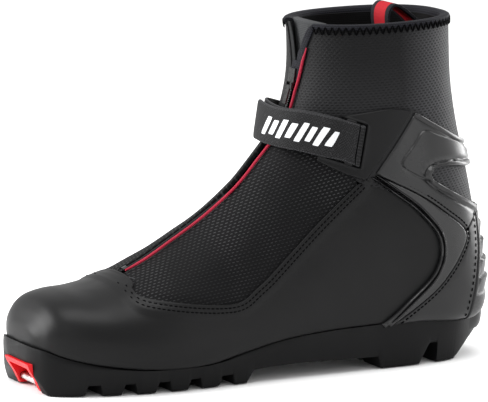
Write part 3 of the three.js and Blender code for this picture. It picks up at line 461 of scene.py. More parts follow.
def tidy_normals(obj):
    bm = bmesh.new()
    bm.from_mesh(obj.data)
    bmesh.ops.recalc_face_normals(bm, faces=bm.faces)
    bm.to_mesh(obj.data)
    bm.free()


def closed_faces(T, n):
    """A sheet's triangles, the same turned over n points further on, and a wall along its rim."""
    return [*T, *(T[:, ::-1] + n), *((b, a, a + n, b + n) for a, b in boundary(T))]


def shell(name, A, T, outer, inner, material, uv):
    """A closed piece between two heights over the surface."""
    levels = [A[:, POS] + A[:, NRM] * np.broadcast_to(height, len(A))[:, None] for height in (outer, inner)]
    return mesh_object(name, np.concatenate(levels), closed_faces(T, len(A)), material, np.concatenate([uv, uv]))


def sheet(name, tops, lows, columns, material, uv):
    """A closed piece between two grids of points, both given row by row."""
    T = []
    for i in range(len(tops) // columns - 1):
        for j in range(columns - 1):
            a = i * columns + j
            T += [(a, a + 1, a + columns), (a + 1, a + columns + 1, a + columns)]
    obj = mesh_object(name, tops + lows, closed_faces(np.array(T), len(tops)), material, uv + uv)
    tidy_normals(obj)
    return obj


def side_uv(A):
    return np.stack([A[:, 0], A[:, 2] - 0.6 * np.abs(A[:, 1])], 1)


def leg_uv(A):
    return np.stack([A[:, ARCLEN], A[:, 2]], 1)


def outer_side(A):
    return -A[:, 1]


def inner_side(A):
    return A[:, 1]


def ride(obj, body, slot, *nodes):
    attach(obj, body)
    if nodes:
        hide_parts(*nodes)
    return obj


# ---------------------------------------------------------------- materials
STAGGER = 0.5  # how far each second row of dashes is moved along, as a share of the pitch
SOFT = 0.35  # how soft a dash's edges are, as a share of its size


class Nodes:
    """Short names for the nodes of one material."""

    def __init__(self, name, color, roughness, metallic=0.0, specular=0.5):
        self.material = bpy.data.materials.new(name)
        self.material.use_nodes = True
        self.tree = self.material.node_tree
        self.shader = self.tree.nodes["Principled BSDF"]
        self.set("Base Color", (*color, 1))
        self.set("Roughness", roughness)
        self.set("Metallic", metallic)
        self.set("Specular IOR Level", specular)

    def set(self, socket, value):
        self.shader.inputs[socket].default_value = value

    def link(self, value, socket):
        if isinstance(value, (int, float)):
            socket.default_value = value
        else:
            self.tree.links.new(value, socket)

    def node(self, kind, **settings):
        made = self.tree.nodes.new(kind)
        for key, value in settings.items():
            setattr(made, key, value)
        return made

    def math(self, operation, *values):
        made = self.node("ShaderNodeMath", operation=operation)
        for value, socket in zip(values, made.inputs):
            self.link(value, socket)
        return made.outputs[0]

    def uv(self):
        split = self.node("ShaderNodeSeparateXYZ")
        self.tree.links.new(self.node("ShaderNodeUVMap", uv_map="Surface").outputs[0], split.inputs[0])
        return split.outputs[0], split.outputs[1]

    def where(self):
        return self.node("ShaderNodeTexCoord").outputs["Object"]

    def texture(self, kind, **values):
        made = self.node(kind)
        for socket, value in values.items():
            made.inputs[socket].default_value = value
        self.tree.links.new(self.where(), made.inputs["Vector"])
        return made.outputs

    def noise(self, scale, detail):
        return self.texture("ShaderNodeTexNoise", Scale=scale, Detail=detail)[0]

    def cells(self, scale):
        return self.texture("ShaderNodeTexVoronoi", Scale=scale)["Distance"]

    def ramp(self, value, low, high, out_low=0.0, out_high=1.0):
        made = self.node("ShaderNodeMapRange", interpolation_type="SMOOTHSTEP")
        for socket, v in zip(made.inputs, (value, low, high, out_low, out_high)):
            self.link(v, socket)
        return made.outputs[0]

    def mottle(self, scale, detail, low=0.0, high=1.0):
        """Soft spots between two values."""
        return self.ramp(self.noise(scale, detail), 0.3, 0.7, low, high)

    def mix(self, share, a, b):
        made = self.node("ShaderNodeMix", data_type="RGBA")
        self.link(share, made.inputs[0])
        for value, socket in ((a, made.inputs[6]), (b, made.inputs[7])):
            if isinstance(value, tuple):
                socket.default_value = (*value, 1)
            else:
                self.tree.links.new(value, socket)
        return made.outputs[2]

    def color(self, value):
        self.tree.links.new(value, self.shader.inputs["Base Color"])

    def roughness(self, value):
        self.tree.links.new(value, self.shader.inputs["Roughness"])

    def bump(self, height, distance, strength=1.0):
        made = self.node("ShaderNodeBump")
        made.inputs["Strength"].default_value = strength
        made.inputs["Distance"].default_value = distance * MM
        self.tree.links.new(height, made.inputs["Height"])
        old = self.shader.inputs["Normal"]
        if old.is_linked:
            self.tree.links.new(old.links[0].from_socket, made.inputs["Normal"])
        self.tree.links.new(made.outputs[0], old)

    def lattice(self, across, up, wide, high, slope=0.0):
        """A mask of short dashes in staggered rows: one on a dash, nought between."""
        u, v = self.uv()
        row = self.math("DIVIDE", self.math("ADD", v, self.math("MULTIPLY", u, slope)), up)
        shift = self.math("MULTIPLY", self.math("MODULO", self.math("FLOOR", row), 2.0), STAGGER)
        col = self.math("ADD", self.math("DIVIDE", u, across), shift)
        masks = []
        for cell, share in ((col, wide / across), (row, high / up)):
            off = self.math("ABSOLUTE", self.math("SUBTRACT", self.math("FRACT", cell), 0.5))
            masks.append(self.ramp(off, share / 2 * (1 - SOFT), share / 2 * (1 + SOFT), 1.0, 0.0))
        return self.math("MULTIPLY", *masks)


def make_leather():
    m = Nodes("synthetic_leather", (0.005, 0.005, 0.0052), 0.4, specular=0.13)
    m.color(m.mix(m.mottle(14, 2), (0.0035, 0.0035, 0.0037), (0.0065, 0.0065, 0.0067)))
    m.roughness(m.mottle(30, 3, 0.38, 0.5))
    m.bump(m.cells(900), 0.06, 0.35)
    m.bump(m.noise(45, 2), 0.35, 0.25)
    return m.material


def make_panel():
    m = Nodes("panel_fabric", (0.003, 0.003, 0.0034), 0.6, specular=0.08)
    dash = m.lattice(2.5, 2.2, 1.3, 0.6, slope=-0.12)
    fade = m.ramp(m.noise(22, 2), 0.42, 0.62)
    shine = m.math("MULTIPLY", dash, m.math("ADD", m.math("MULTIPLY", fade, 0.75), 0.25))
    weave = m.noise(1400, 2)
    ground = m.mix(weave, (0.0015, 0.0015, 0.0018), (0.004, 0.004, 0.0043))
    m.color(m.mix(shine, ground, (0.034, 0.034, 0.035)))
    m.roughness(m.ramp(dash, 0.0, 1.0, 0.65, 0.38))
    m.bump(dash, 0.35, 0.6)
    m.bump(weave, 0.1, 0.4)
    return m.material


def make_collar():
    m = Nodes("collar_mesh", (0.012, 0.012, 0.0125), 0.6, specular=0.12)
    hole = m.lattice(3.0, 1.5, 1.7, 0.7, slope=0.05)
    u, v = m.uv()
    # Painted light: the rear of the outer collar is painted lighter where the light from behind and to the right
    # falls on it; the lower band of the collar is painted lighter than its top, and tone takes the lighter of the
    # two.
    painted_backlight = m.ramp(u, -95, -62, 1.0, 0.0)
    low = m.ramp(v, 150, 185, 0.3, 0.08)
    tone = m.math("MAXIMUM", m.math("MULTIPLY", painted_backlight, 0.95), low)
    ground = m.mix(tone, (0.002, 0.002, 0.0023), (0.03, 0.03, 0.032))
    m.color(m.mix(m.math("MULTIPLY", hole, 0.85), ground, (0.002, 0.002, 0.0022)))
    m.bump(m.math("SUBTRACT", 1.0, hole), 0.3, 0.7)
    m.bump(m.noise(1200, 2), 0.08, 0.4)
    return m.material


def make_cloth(name, dark, light, roughness=0.8, pitch=1.1, relief=0.2):
    m = Nodes(name, light, roughness, specular=0.15)
    knit = m.lattice(pitch, pitch * 0.8, pitch * 0.7, pitch * 0.45)
    m.color(m.mix(m.math("MULTIPLY", knit, m.mottle(60, 2, 0.6, 1.0)), dark, light))
    m.bump(knit, relief, 0.6)
    return m.material


def make_plastic(name, color, roughness, relief=0.15, specular=0.5):
    m = Nodes(name, color, roughness, specular=specular)
    darker, lighter = (tuple(min(c * f, 1) for c in color) for f in (0.85, 1.15))
    m.color(m.mix(m.mottle(25, 3), darker, lighter))
    m.roughness(m.mottle(60, 3, roughness * 0.9, roughness * 1.15))
    m.bump(m.noise(700, 2), relief * 0.3, 0.4)
    return m.material


def make_webbing():
    m = Nodes("webbing", (0.008, 0.008, 0.0084), 0.7, specular=0.15)
    weave = m.lattice(1.5, 0.85, 1.0, 0.45)
    speck = m.ramp(m.noise(900, 3), 0.56, 0.7)
    light = m.math("MULTIPLY", m.math("ADD", m.math("MULTIPLY", weave, 0.55), m.math("MULTIPLY", speck, 0.5)), 0.8)
    m.color(m.mix(light, (0.004, 0.004, 0.0043), (0.034, 0.034, 0.036)))
    m.bump(weave, 0.25, 0.7)
    return m.material


def make_steel(name="steel", tone=0.62):
    m = Nodes(name, (tone, tone, tone), 0.28, metallic=1.0)
    m.roughness(m.mottle(200, 3, 0.22, 0.36))
    m.bump(m.noise(500, 2), 0.03, 0.3)
    return m.material


LEATHER = make_leather()
PANEL = make_panel()
COLLAR = make_collar()
BINDING = make_cloth("binding_tape", (0.0025, 0.0025, 0.004), (0.008, 0.0085, 0.013), 0.75, 1.6, 0.35)
LINING = make_cloth("lining_fabric", (0.0015, 0.0015, 0.0016), (0.0035, 0.0035, 0.0037), 0.9, 1.4, 0.2)
TONGUE = make_cloth("tongue_fabric", (0.026, 0.027, 0.028), (0.044, 0.045, 0.047), 0.75, 1.2, 0.2)
TAPE = make_cloth("zip_tape", (0.004, 0.004, 0.0045), (0.016, 0.018, 0.018), 0.7, 0.9, 0.15)
WING = make_plastic("wing_plastic", (0.0055, 0.0055, 0.0058), 0.48, specular=0.13)
CUFF = make_plastic("cuff_plastic", (0.008, 0.008, 0.0084), 0.3, specular=0.34)
COUNTER = make_plastic("counter_plastic", (0.006, 0.006, 0.0064), 0.33, specular=0.27)
GLOSS = make_plastic("rim_plastic", (0.004, 0.004, 0.0044), 0.2, 0.05, specular=0.42)
RUBBER = make_plastic("sole_rubber", (0.003, 0.003, 0.0032), 0.42, 0.3, specular=0.1)
BUMPER = make_plastic("bumper_rubber", (0.006, 0.006, 0.0064), 0.4, 0.2, specular=0.3)
TEETH = make_plastic("zip_teeth", (0.004, 0.004, 0.0045), 0.4, specular=0.2)
BOARD = make_plastic("inner_board", (0.03, 0.03, 0.032), 0.7)
RED = make_cloth("red_cord", (0.2, 0.004, 0.016), (0.42, 0.02, 0.05), 0.5, 0.8, 0.15)
RED_PLASTIC = make_plastic("red_plastic", (0.56, 0.006, 0.01), 0.4, specular=0.22)
RED_WEB = make_cloth("red_webbing", (0.22, 0.003, 0.008), (0.42, 0.006, 0.014), 0.65, 1.0, 0.25)
STRAP = make_webbing()
STRAP_EDGE = make_cloth("strap_edge", (0.015, 0.015, 0.016), (0.06, 0.06, 0.063), 0.7, 1.0, 0.2)
THREAD = make_plastic("black_thread", (0.001, 0.001, 0.0012), 0.8, specular=0.03)
PRINT = make_plastic("strap_print", (0.56, 0.57, 0.58), 0.6, specular=0.2)
STEEL = make_steel()
GUNMETAL = make_steel("gunmetal", 0.045)
PILE = make_cloth("hook_and_loop", (0.004, 0.004, 0.0045), (0.03, 0.03, 0.031), 0.95, 0.7, 0.4)
BED = make_cloth("footbed_fabric", (0.02, 0.02, 0.021), (0.06, 0.06, 0.062), 0.85, 1.2, 0.15)


# ---------------------------------------------------------------- sweeps and stitches
def frames(points, outs):
    points, outs = np.asarray(points, float), np.asarray(outs, float)
    t = np.gradient(points, axis=0)
    t /= np.linalg.norm(t, axis=1)[:, None]
    outs = outs - (outs * t).sum(1)[:, None] * t
    outs /= np.linalg.norm(outs, axis=1)[:, None]
    return points, outs, np.cross(t, outs)


def tube_faces(n, m, closed=False, start=0):
    """Faces of n rings of m points, with a cap at each end unless the tube runs round to its start."""
    faces = []
    for i in range(n if closed else n - 1):
        for j in range(m):
            a, b = i * m + j, i * m + (j + 1) % m
            faces.append((a, b, (b + m) % (n * m), (a + m) % (n * m)))
    if not closed:
        faces += [tuple(range(m))[::-1], tuple(range((n - 1) * m, n * m))]
    return [tuple(v + start for v in face) for face in faces]


def sweep(name, points, outs, shape, material, closed=False, scale=None):
    """A closed section, given as (across, out) pairs, drawn along a path."""
    points, outs, sides = frames(points, outs)
    n, m = len(points), len(shape)
    size = np.ones(n) if scale is None else scale
    shape = np.array(shape, float)
    across, out = shape.T
    rings = [points[i] + size[i] * (np.outer(across, sides[i]) + np.outer(out, outs[i])) for i in range(n)]
    uv = np.stack([np.repeat(length_along(points), m), np.tile(length_along(shape), n)], 1)
    obj = mesh_object(name, np.concatenate(rings), tube_faces(n, m, closed), material, uv)
    tidy_normals(obj)
    return obj


def circle(radius, sides):
    a = 2 * np.pi * np.arange(sides) / sides
    return [(radius * math.cos(v), radius * math.sin(v)) for v in a]


def stitch_points(line, spacing, side, height):
    """Places, directions and outward directions of stitches along a side view line."""
    line = resample(line, spacing)
    spots = [at_side(x, z, side) for x, z in line]
    p = np.array([a + n * height for a, n in spots])
    return p, np.array([n for _, n in spots])


STITCH_SIDES = 6
CAPSULE_RINGS = ((-1.0, 0.25), (-0.75, 0.85), (0.0, 1.0), (0.75, 0.85), (1.0, 0.25))


def stitches(name, runs, length, radius, material, slant=0.0):
    """All stitches of some runs as one piece: each a small capsule lying on the surface."""
    points, faces = [], []
    turns = 2 * np.pi * np.arange(STITCH_SIDES) / STITCH_SIDES
    for p, outs in runs:
        p, outs, across = frames(p, outs)
        t = np.cross(outs, across)
        t = t * math.cos(slant) + across * math.sin(slant)
        across = np.cross(t, outs)
        for k in range(len(p)):
            faces += tube_faces(len(CAPSULE_RINGS), STITCH_SIDES, start=len(points))
            for along_it, wide in CAPSULE_RINGS:
                for a in turns:
                    ring = across[k] * math.cos(a) * wide * radius + outs[k] * math.sin(a) * wide * radius
                    points.append(p[k] + t[k] * along_it * length / 2 + ring)
    obj = mesh_object(name, points, faces, material, np.zeros((len(points), 2)))
    tidy_normals(obj)
    return obj


# ---------------------------------------------------------------- the upper
ZIP_OPEN = 5.0


def opening(z, side):
    """Half width of the front opening at a height: the V above the slider."""
    if side < 0:
        return np.interp(z, (183, 188, 193, 198, 210), (ZIP_OPEN, 7, 11, 16.5, 30))
    return np.interp(z, (slider_z, 198, 210), (ZIP_OPEN, 14, 17))


def placket_edge(z):
    """Where the outer half's bound edge runs above the slider."""
    levels = (slider_z - 4, slider_z, 170, 176, 182, 188, 193, 198)
    return float(np.interp(z, levels, (3.5, 3.5, 2.6, -0.4, -4.8, -8, -11.4, -16)))


def placket_root(z):
    """Where that half leaves the collar, further from the middle."""
    return float(np.interp(z, (158, 168, 176, 184, 198), (-4.6, -6.0, -7.6, -10.8, -18.4)))


def piping_y(z):
    """How far from the middle the piping runs, on the outer side."""
    return float(np.interp(z, (0, 158, 168, 176, 184), (-4.7, -4.7, -6.5, -8.2, -11.4)))


def front_gap(A):
    half = np.where(A[:, ARCLEN] < 0, opening(A[:, 2], -1), opening(A[:, 2], 1))
    return np.abs(A[:, ARCLEN]) - half


from_seam = near(vamp_seam)
vamp_field = within(vamp_outline)
A, T = patch(vamp_field, lines=[(from_seam, (0.25, 0.6, 1.1, 3.3, 6.0, 9.0))])
lift = 1.1 * rounded(from_seam(A), 0.7) * (1 - smooth(from_seam(A), 4.5, 10))
pinch = 0.22 * (np.exp(-((from_seam(A) - 2.1) ** 2) / 0.25) + np.exp(-((from_seam(A) - 4.4) ** 2) / 0.25))
vamp = shell("vamp", A, T, lift - pinch, -1.8, LEATHER, side_uv(A))
ride(vamp, "boot", "vamp_leather", "vamp_shell", "insulation", "toe_puff")

lace_field = within(
    [*beside(vamp_seam, -1.2), *lace_top[1:], (-FAR, lace_top[2][1]), (-FAR, vamp_seam[0][1])]
)
for side, name, test in ((-1, "outer", outer_side), (1, "inner", inner_side)):
    A, T = patch(lace_field, test, front_gap)
    edge = np.min([front_gap(A), test(A)], 0)
    fold_line = near([(-60, 58), (-20, 62), (20, 88)])(A)
    creases = 0.5 * np.sin(A[:, 0] * 0.16 + A[:, 2] * 0.1) * smooth(edge, 4, 16) * smooth(from_seam(A), 2, 14)
    height = -0.1 + 0.5 * rounded(edge, 1.2) + creases * 0.6 - 0.3 * np.exp(-(fold_line**2) / 30)
    height = height - 0.7 * (1 - smooth(from_seam(A), 1.2, 3.0))
    piece = shell(f"lace_panel_{name}", A, T, height, -1.8, PANEL, side_uv(A))
    ride(piece, "boot", "panel_fabric", f"lace_cover_{name}")

collar_field = within(collar_outline)
A, T = patch(collar_field, front_gap)
bulge = 0.9 * smooth(np.minimum(front_gap(A), LAST - A[:, ROW]), 0, 14)
bulge *= smooth((LAST - A[:, ROW]) * 16, 0, 14)
collar = shell("collar", A, T, bulge - 0.1 + 0.3 * rounded(front_gap(A), 1.2), -3.2, COLLAR, leg_uv(A))
ride(collar, "boot", "collar_mesh", "collar_sleeve", "collar_foam")

# Inside: lining, tongue and footbed.
LINE_TOP = 3.6


def front_strip(half):
    return lambda A: np.where(A[:, 0] < 60, np.abs(A[:, ARCLEN]) - half, 50.0)


A, T = patch(front_strip(22), lambda A: (LAST - 0.2 - A[:, ROW]) * 16, levels=(0.4, 1.0))
lining = shell("inner_lining", A, T, -LINE_TOP, -LINE_TOP - 2.3, LINING, leg_uv(A))
ride(lining, "boot", "lining_fabric", "lining")


def tongue_field(A):
    return 21.5 - np.abs(A[:, ARCLEN])


A, T = patch(tongue_field, lambda A: (A[:, ROW] - 7.0) * 16, lambda A: 80.0 - A[:, 0], levels=(0.4, 1.2, 2.4))
edge = np.minimum(tongue_field(A), (LAST - A[:, ROW]) * 16 + 0.01)
tongue = shell("padded_tongue", A, T, -5.4 + 1.1 * rounded(edge, 4.0), -7.6, TONGUE, leg_uv(A))
ride(tongue, "boot", "collar_mesh", "tongue")

# ---------------------------------------------------------------- moulded plates
near_rear = near(rear_rim)
near_front = near(front_rim)
near_groove = near([(84, 154), *groove, (50, 106.6)])
near_top = near(cuff_top)
near_cut = near(cut_out)
near_window = within(window_outline)
in_cut = within(cut_out)
in_cuff = within(cuff_outline)
in_counter = within(counter_outline)
GROOVE_HALF = 0.9
PLATE_LOW = 0.3  # how far over the surface a plate's back lies
LIP = 3.0


def outside(field, margin=0.0):
    return lambda A: -field(A) - margin


def away(field, margin):
    return lambda A: field(A) - margin


cuff_fields = (in_cuff, outside(in_cut), away(near_groove, GROOVE_HALF))
A, T = patch(
    *cuff_fields,
    lines=[
        (near_cut, (LIP - 0.6, LIP, LIP + 0.7, LIP + 1.5)),
        (near_window, (-0.9, -0.45, -0.15, 0.15, 0.45, 0.9)),
        (near_top, (1.9, 2.2, 2.6, 3.0, 3.4)),
        (near_cut, (1.2, 2.0)),
    ],
)
edge = np.min([f(A) for f in cuff_fields], 0)
cut_d, win_d, top_d = near_cut(A), near_window(A), near_top(A)
height = PLATE_LOW + 2.0 * rounded(edge, 0.9)
height += 1.1 * (1 - smooth(cut_d, LIP - 0.5, LIP + 0.3)) * rounded(edge, 0.9)
height -= 0.6 * np.exp(-((cut_d - LIP - 0.9) ** 2) / 0.35)
height += 0.95 * smooth(win_d, -0.3, 0.3) - 0.25 * np.exp(-((win_d + 0.7) ** 2) / 0.12)
height += 0.45 * (1 - smooth(top_d, 2.0, 2.8)) * rounded(edge, 0.9)
height -= 0.4 * np.exp(-((top_d - 2.9) ** 2) / 0.2)
cuff = shell("cuff", A, T, height, PLATE_LOW, CUFF, side_uv(A))
ride(cuff, "boot", "shell_plastic", "ankle_cuff")

joint_area = within([(40, 104), (60, 100), (92, 146), (80.4, 148.9), (72, 150.6)])
A, T = patch(outside(near_groove, -2.6), joint_area, levels=(0.5,))
underlay = shell("cuff_underlay", A, T, 0.95, PLATE_LOW, TEETH, side_uv(A))
ride(underlay, "boot", "shell_plastic")

below_cuff = outside(in_cuff, 0.15)
A, T = patch(in_counter, below_cuff, lines=[(near_rear, (0.6, 1.2, 1.8, 2.4, 3.2))])
edge = np.minimum(in_counter(A), below_cuff(A))
rear_d = near_rear(A)
height = PLATE_LOW + 1.8 * rounded(edge, 0.8) - 0.35 * np.exp(-((rear_d - 1.9) ** 2) / 0.5)
counter = shell("heel_cup", A, T, height, PLATE_LOW, COUNTER, side_uv(A))
ride(counter, "boot", "counter_plastic", "heel_counter")

in_band = within(band_outline)
for side, name, test in ((-1, "outer", outer_side), (1, "inner", inner_side)):
    A, T = patch(in_band, test, lines=[(near_front, tuple(np.arange(0.35, 5.2, 0.3)))])
    edge, front_d = in_band(A), near_front(A)
    height = PLATE_LOW + 1.5 * rounded(edge, 0.8)
    height += 1.1 * np.exp(-((front_d - 0.95) ** 2) / 0.28) + 0.95 * np.exp(-((front_d - 3.3) ** 2) / 0.25)
    height -= 1.0 * np.exp(-((front_d - 2.15) ** 2) / 0.22)
    height += 0.5 * smooth(front_d, 5.5, 8.5)
    band = shell(f"rim_band_{name}", A, T, height, PLATE_LOW, GLOSS, side_uv(A))
    ride(band, "boot", "counter_plastic", f"side_band_{name}")

# Wings: the outer one is open where the strap passes, and a bar crosses the strap there.
SLANT, SLOT_X, SLOT_WIDTH, SLOT_BAR = 0.153, 49.7, 4.6, 5.0
STRAP_WIDTH, STRAP_THICK, STRAP_SLOPE = 23.0, 1.5, 0.33
STRAP_TALL = STRAP_WIDTH / 2 * math.hypot(1, STRAP_SLOPE)


def strap_z(x):
    return 141.9 - STRAP_SLOPE * (x - 13)


WING_HALF = 12.5


def slanted(x0, x1, half):
    """An outline across the strap between two slanted lines, half of it above the strap's middle."""
    corners = []
    for x, rise in ((x0, -1), (x1, -1), (x1, 1), (x0, 1)):
        x = x + rise * SLANT * WING_HALF
        corners.append((x, strap_z(x) + rise * half))
    return corners


in_wing = within(wing_outline)
in_bay = within(slanted(0, SLOT_X, STRAP_TALL + 0.6))
for side, name, test in ((-1, "outer", outer_side), (1, "inner", inner_side)):
    fields = [in_wing, test, away(near_groove, GROOVE_HALF)] + ([outside(in_bay)] if side < 0 else [])
    A, T = patch(*fields, lines=[(in_bay, (-2.2, -1.4, -0.7))] if side < 0 else [])
    edge = np.min([f(A) for f in fields], 0)
    height = PLATE_LOW + 1.8 * rounded(edge, 0.8)
    if side < 0:
        height += 0.8 * (1 - smooth(-in_bay(A), 1.0, 2.0)) * rounded(edge, 0.6)
    wing = shell(f"wing_{name}", A, T, height, PLATE_LOW, WING, side_uv(A))
    ride(wing, "boot", "shell_plastic", f"strap_wing_{name}")

bar_front = SLOT_X - SLOT_WIDTH - SLOT_BAR
in_bar = within(slanted(bar_front, SLOT_X - SLOT_WIDTH, STRAP_TALL + 3.2))
A, T = patch(in_bar, outer_side, lines=[(in_bay, (-0.8, 0.0, 0.8))])
bridge = smooth(in_bay(A), -1.6, 0.4)
height = 1.2 + 1.0 * rounded(in_bar(A), 1.0) + 1.4 * bridge
slot_bar = shell("slot_bar", A, T, height, PLATE_LOW + 1.8 * bridge, WING, side_uv(A))
ride(slot_bar, "boot", "shell_plastic")

# Heel bumper: ribs above, smooth below.
in_bumper = within(bumper_outline)
A, T = patch(in_bumper, lines=[(lambda A: A[:, 2], tuple(np.arange(24, 86, 1.1)))])
edge, z = in_bumper(A), A[:, 2]
RIB = 10.5
phase = ((z - 38) / RIB) % 1.0
ribbed = smooth(z, 37, 40) * (1 - smooth(z, 78, 82)) * smooth(edge, 1.2, 3.5)
rib = np.where(phase < 0.86, phase / 0.86, (1 - phase) / 0.14)
height = 2.0 + 0.9 * rounded(edge, 1.0) + ribbed * (1.9 * rib - 1.1)
bumper = shell("heel_guard", A, T, height, 0.9, BUMPER, side_uv(A))
ride(bumper, "boot", "sole_rubber", "heel_bumper")

# ---------------------------------------------------------------- stitching
runs = []
for side in (-1, 1):
    for distance in (2.1, 4.4):
        runs.append(stitch_points(beside(vamp_seam[15:], -distance), 2.6, side, 0.95))
    runs.append(stitch_points(beside(rear_rim[RIM_TIP - 18 :], 1.9), 2.6, side, 1.95))
    runs.append(stitch_points(beside(bumper_seam[:30], -2.4), 3.4, side, 2.2))
    runs.append(stitch_points(beside(rear_rim[: RIM_TIP + 1], 2.0)[10:], 2.4, side, 2.5))
ride(stitches("seam_stitches", runs, 2.0, 0.42, THREAD), "boot", "shell_plastic")


# ---------------------------------------------------------------- zip
def bulge_at(s):
    """How far the front skin stands out under the strap, where the zip itself stays straight."""
    return float(np.interp(s, *zip(*BULGE)))


NEAR_MIDDLE = 0.01


def height_at(s):
    return float(on_front(s, NEAR_MIDDLE)[0][2])


def front_path(s0, s1, y, height, steps, sunk=0):
    """A line along the front and its outward directions, y from the middle plane."""
    points, outs = [], []
    for s in np.linspace(s0, s1, steps):
        p, n = on_front(s, y(height_at(s)) if callable(y) else y)
        points.append(p + n * (height - sunk * bulge_at(s)))
        outs.append(n)
    return np.array(points), np.array(outs)


BAND_STEPS, BAND_COLUMNS, BAND_EDGE = 90, 6, 0.35


def front_band(name, s0, s1, y0, y1, high, low, material, sunk=0):
    """A strip along the front between two distances from the middle, each given by height."""
    tops, lows, uv = [], [], []
    for s in np.linspace(s0, s1, BAND_STEPS):
        z, down = height_at(s), sunk * bulge_at(s)
        for k, y in enumerate(np.linspace(y0(z), y1(z), BAND_COLUMNS)):
            p, n = on_front(s, y if abs(y) > NEAR_MIDDLE else NEAR_MIDDLE)
            drop = BAND_EDGE if k in (0, BAND_COLUMNS - 1) else 0.0
            tops.append(p + n * (high - drop - down))
            lows.append(p + n * (low - down))
            uv.append((y, z))
    return sheet(name, tops, lows, BAND_COLUMNS, material, uv)


ZIP_FROM, ZIP_TO = 7.42, LAST - 0.3
coarse = np.linspace(15, LAST, 120)
heights = [height_at(s) for s in coarse]
slider_s = float(np.interp(slider_z, heights, coarse))
flat_to = float(np.interp(184, heights, coarse))
for side, name in ((-1, "outer"), (1, "inner")):
    edges = (lambda z: 1.3, lambda z: 6.2)
    a, b = (lambda z, e=e, k=side: k * (e(z) + (opening(z, k) - ZIP_OPEN) * 0.9) for e in edges)
    tape = front_band(f"tape_{name}", ZIP_FROM, slider_s if side < 0 else ZIP_TO, a, b, -0.7, -1.5, TAPE, sunk=1)
    ride(tape, "boot", "binding_tape", f"zip_tape_{name}")
backing_edges = (lambda z: -6.5, lambda z: 6.5)
backing = front_band("zip_backing", ZIP_FROM - 0.1, slider_s, *backing_edges, -1.9, -2.4, LINING, sunk=1)
ride(backing, "boot", "lining_fabric")
placket = front_band("placket", slider_s - 0.35, LAST - 0.12, placket_root, placket_edge, 1.5, -1.2, BINDING)
ride(placket, "boot", "binding_tape")
coil_points, coil_outs = front_path(ZIP_FROM, slider_s, NEAR_MIDDLE, -0.5, 260, sunk=1)
coil = sweep("coil_core", coil_points, coil_outs, circle(0.7, 8), TEETH)
ride(coil, "boot", "inner_plastic", "zip_coil")
teeth_points = resample(np.concatenate([coil_points, coil_outs], 1), 1.25)
teeth = stitches("coil_teeth", [(teeth_points[:, :3], teeth_points[:, 3:])], 2.6, 0.5, TEETH, slant=1.5)
ride(teeth, "boot", "inner_plastic")
PIPING_STEPS = 140
piping_path = front_path(ZIP_FROM, flat_to, piping_y, 1.3, PIPING_STEPS)
taper = np.interp(np.arange(PIPING_STEPS), (0, 4, PIPING_STEPS - 10, PIPING_STEPS - 1), (0.7, 1, 1, 0.35))
piping = sweep("piping", *piping_path, circle(0.88, 10), RED, scale=taper)
ride(piping, "boot", "red_webbing", "red_piping")
stop_points, stop_outs = front_path(ZIP_FROM + 0.06, ZIP_FROM + 0.2, NEAR_MIDDLE, -0.2, 5)
stop_shape = [(-2, -0.7), (2, -0.7), (2, 0.5), (1.4, 0.9), (-1.4, 0.9), (-2, 0.5)]
stop = sweep("zip_stop", stop_points, stop_outs, stop_shape, GUNMETAL)
ride(stop, "boot", "steel", "zip_bottom_stop")


# ---------------------------------------------------------------- collar binding
def rim_ring():
    """Outer edge of the rim from one side of the V round the back to the other."""
    order = [*range(SIDE - 1, -1, -1), *range(ring_size - 1, SIDE, -1)]
    ring = BASE[-ring_size:][order]
    return ring[front_gap(ring) > -0.4]


rim = rim_ring()
rim_points = resample(np.concatenate([rim[:, POS], rim[:, NRM]], 1), 1.2)
rim_outs = rim_points[:, 3:] * np.array([1, 1, 0])
# (above the rim, out from it): a folded tape with a rounded top edge.
fold_shape = [
    *((-1.9, 0.4), (-1.5, 0.85), (-0.4, 1.0), (0.6, 0.7), (1.1, -0.2), (1.2, -1.8), (0.9, -3.4), (0.2, -4.5)),
    *((-1.0, -5.0), (-5.0, -5.0), (-5.0, -4.0), (-0.4, -3.4), (-0.4, -0.1), (-1.9, -0.1)),
]
_, _, rim_side = frames(rim_points[:, :3], rim_outs)
up_sign = 1.0 if rim_side[len(rim_side) // 2][2] > 0 else -1.0
binding = sweep("rim_binding", rim_points[:, :3], rim_outs, [(a * up_sign, h) for a, h in fold_shape], BINDING)
ride(binding, "boot", "binding_tape", "collar_binding")
zigzag = resample(rim_points, 1.9)[1:-1]
over = zigzag[:, :3] + zigzag[:, 3:] * 0.95 - np.array([0, 0, 2.4])
over_outs = zigzag[:, 3:]
runs = [(over[0::2], over_outs[0::2]), (over[1::2], over_outs[1::2])]
for k, run in enumerate(runs):
    lock = stitches(f"overlock_{k + 1}", [run], 5.0, 0.5, THREAD, slant=(1.2, -1.2)[k])
    ride(lock, "boot", "binding_tape")

# ---------------------------------------------------------------- strap
STRAP_PATH = [
    *((31, -29.6), (23.5, -24), (16, -17.2), (11.8, -8.8), (10.4, 0)),
    *((12, 9.5), (16, 18.5), (22, 26), (30, 33)),
]
RISE = 0.8
ON_INNER = 0.6 + 1.8
OUTER_START, INNER_START, INNER_END = 37.0, 40.0, 53
ALONG_WING = 0.93  # how far along the boot one millimetre of the strap reaches on a wing
GAP = 0.3


def side_y(x, side):
    return at_side(x, strap_z(x), side)[0][1]


plan = spline(
    [
        (OUTER_START, side_y(OUTER_START, -1) - GAP - RISE),
        *STRAP_PATH,
        (INNER_START, side_y(INNER_START, 1) + ON_INNER + RISE),
    ],
    12,
)
plan_length = length_along(plan)
STRAP_LONG = plan_length[-1]
LEAN_FRONT, LEAN_SIDE = 13.5, -13.0


def plan_at(q):
    return np.array([np.interp(q, plan_length, plan[:, k]) for k in (0, 1)])


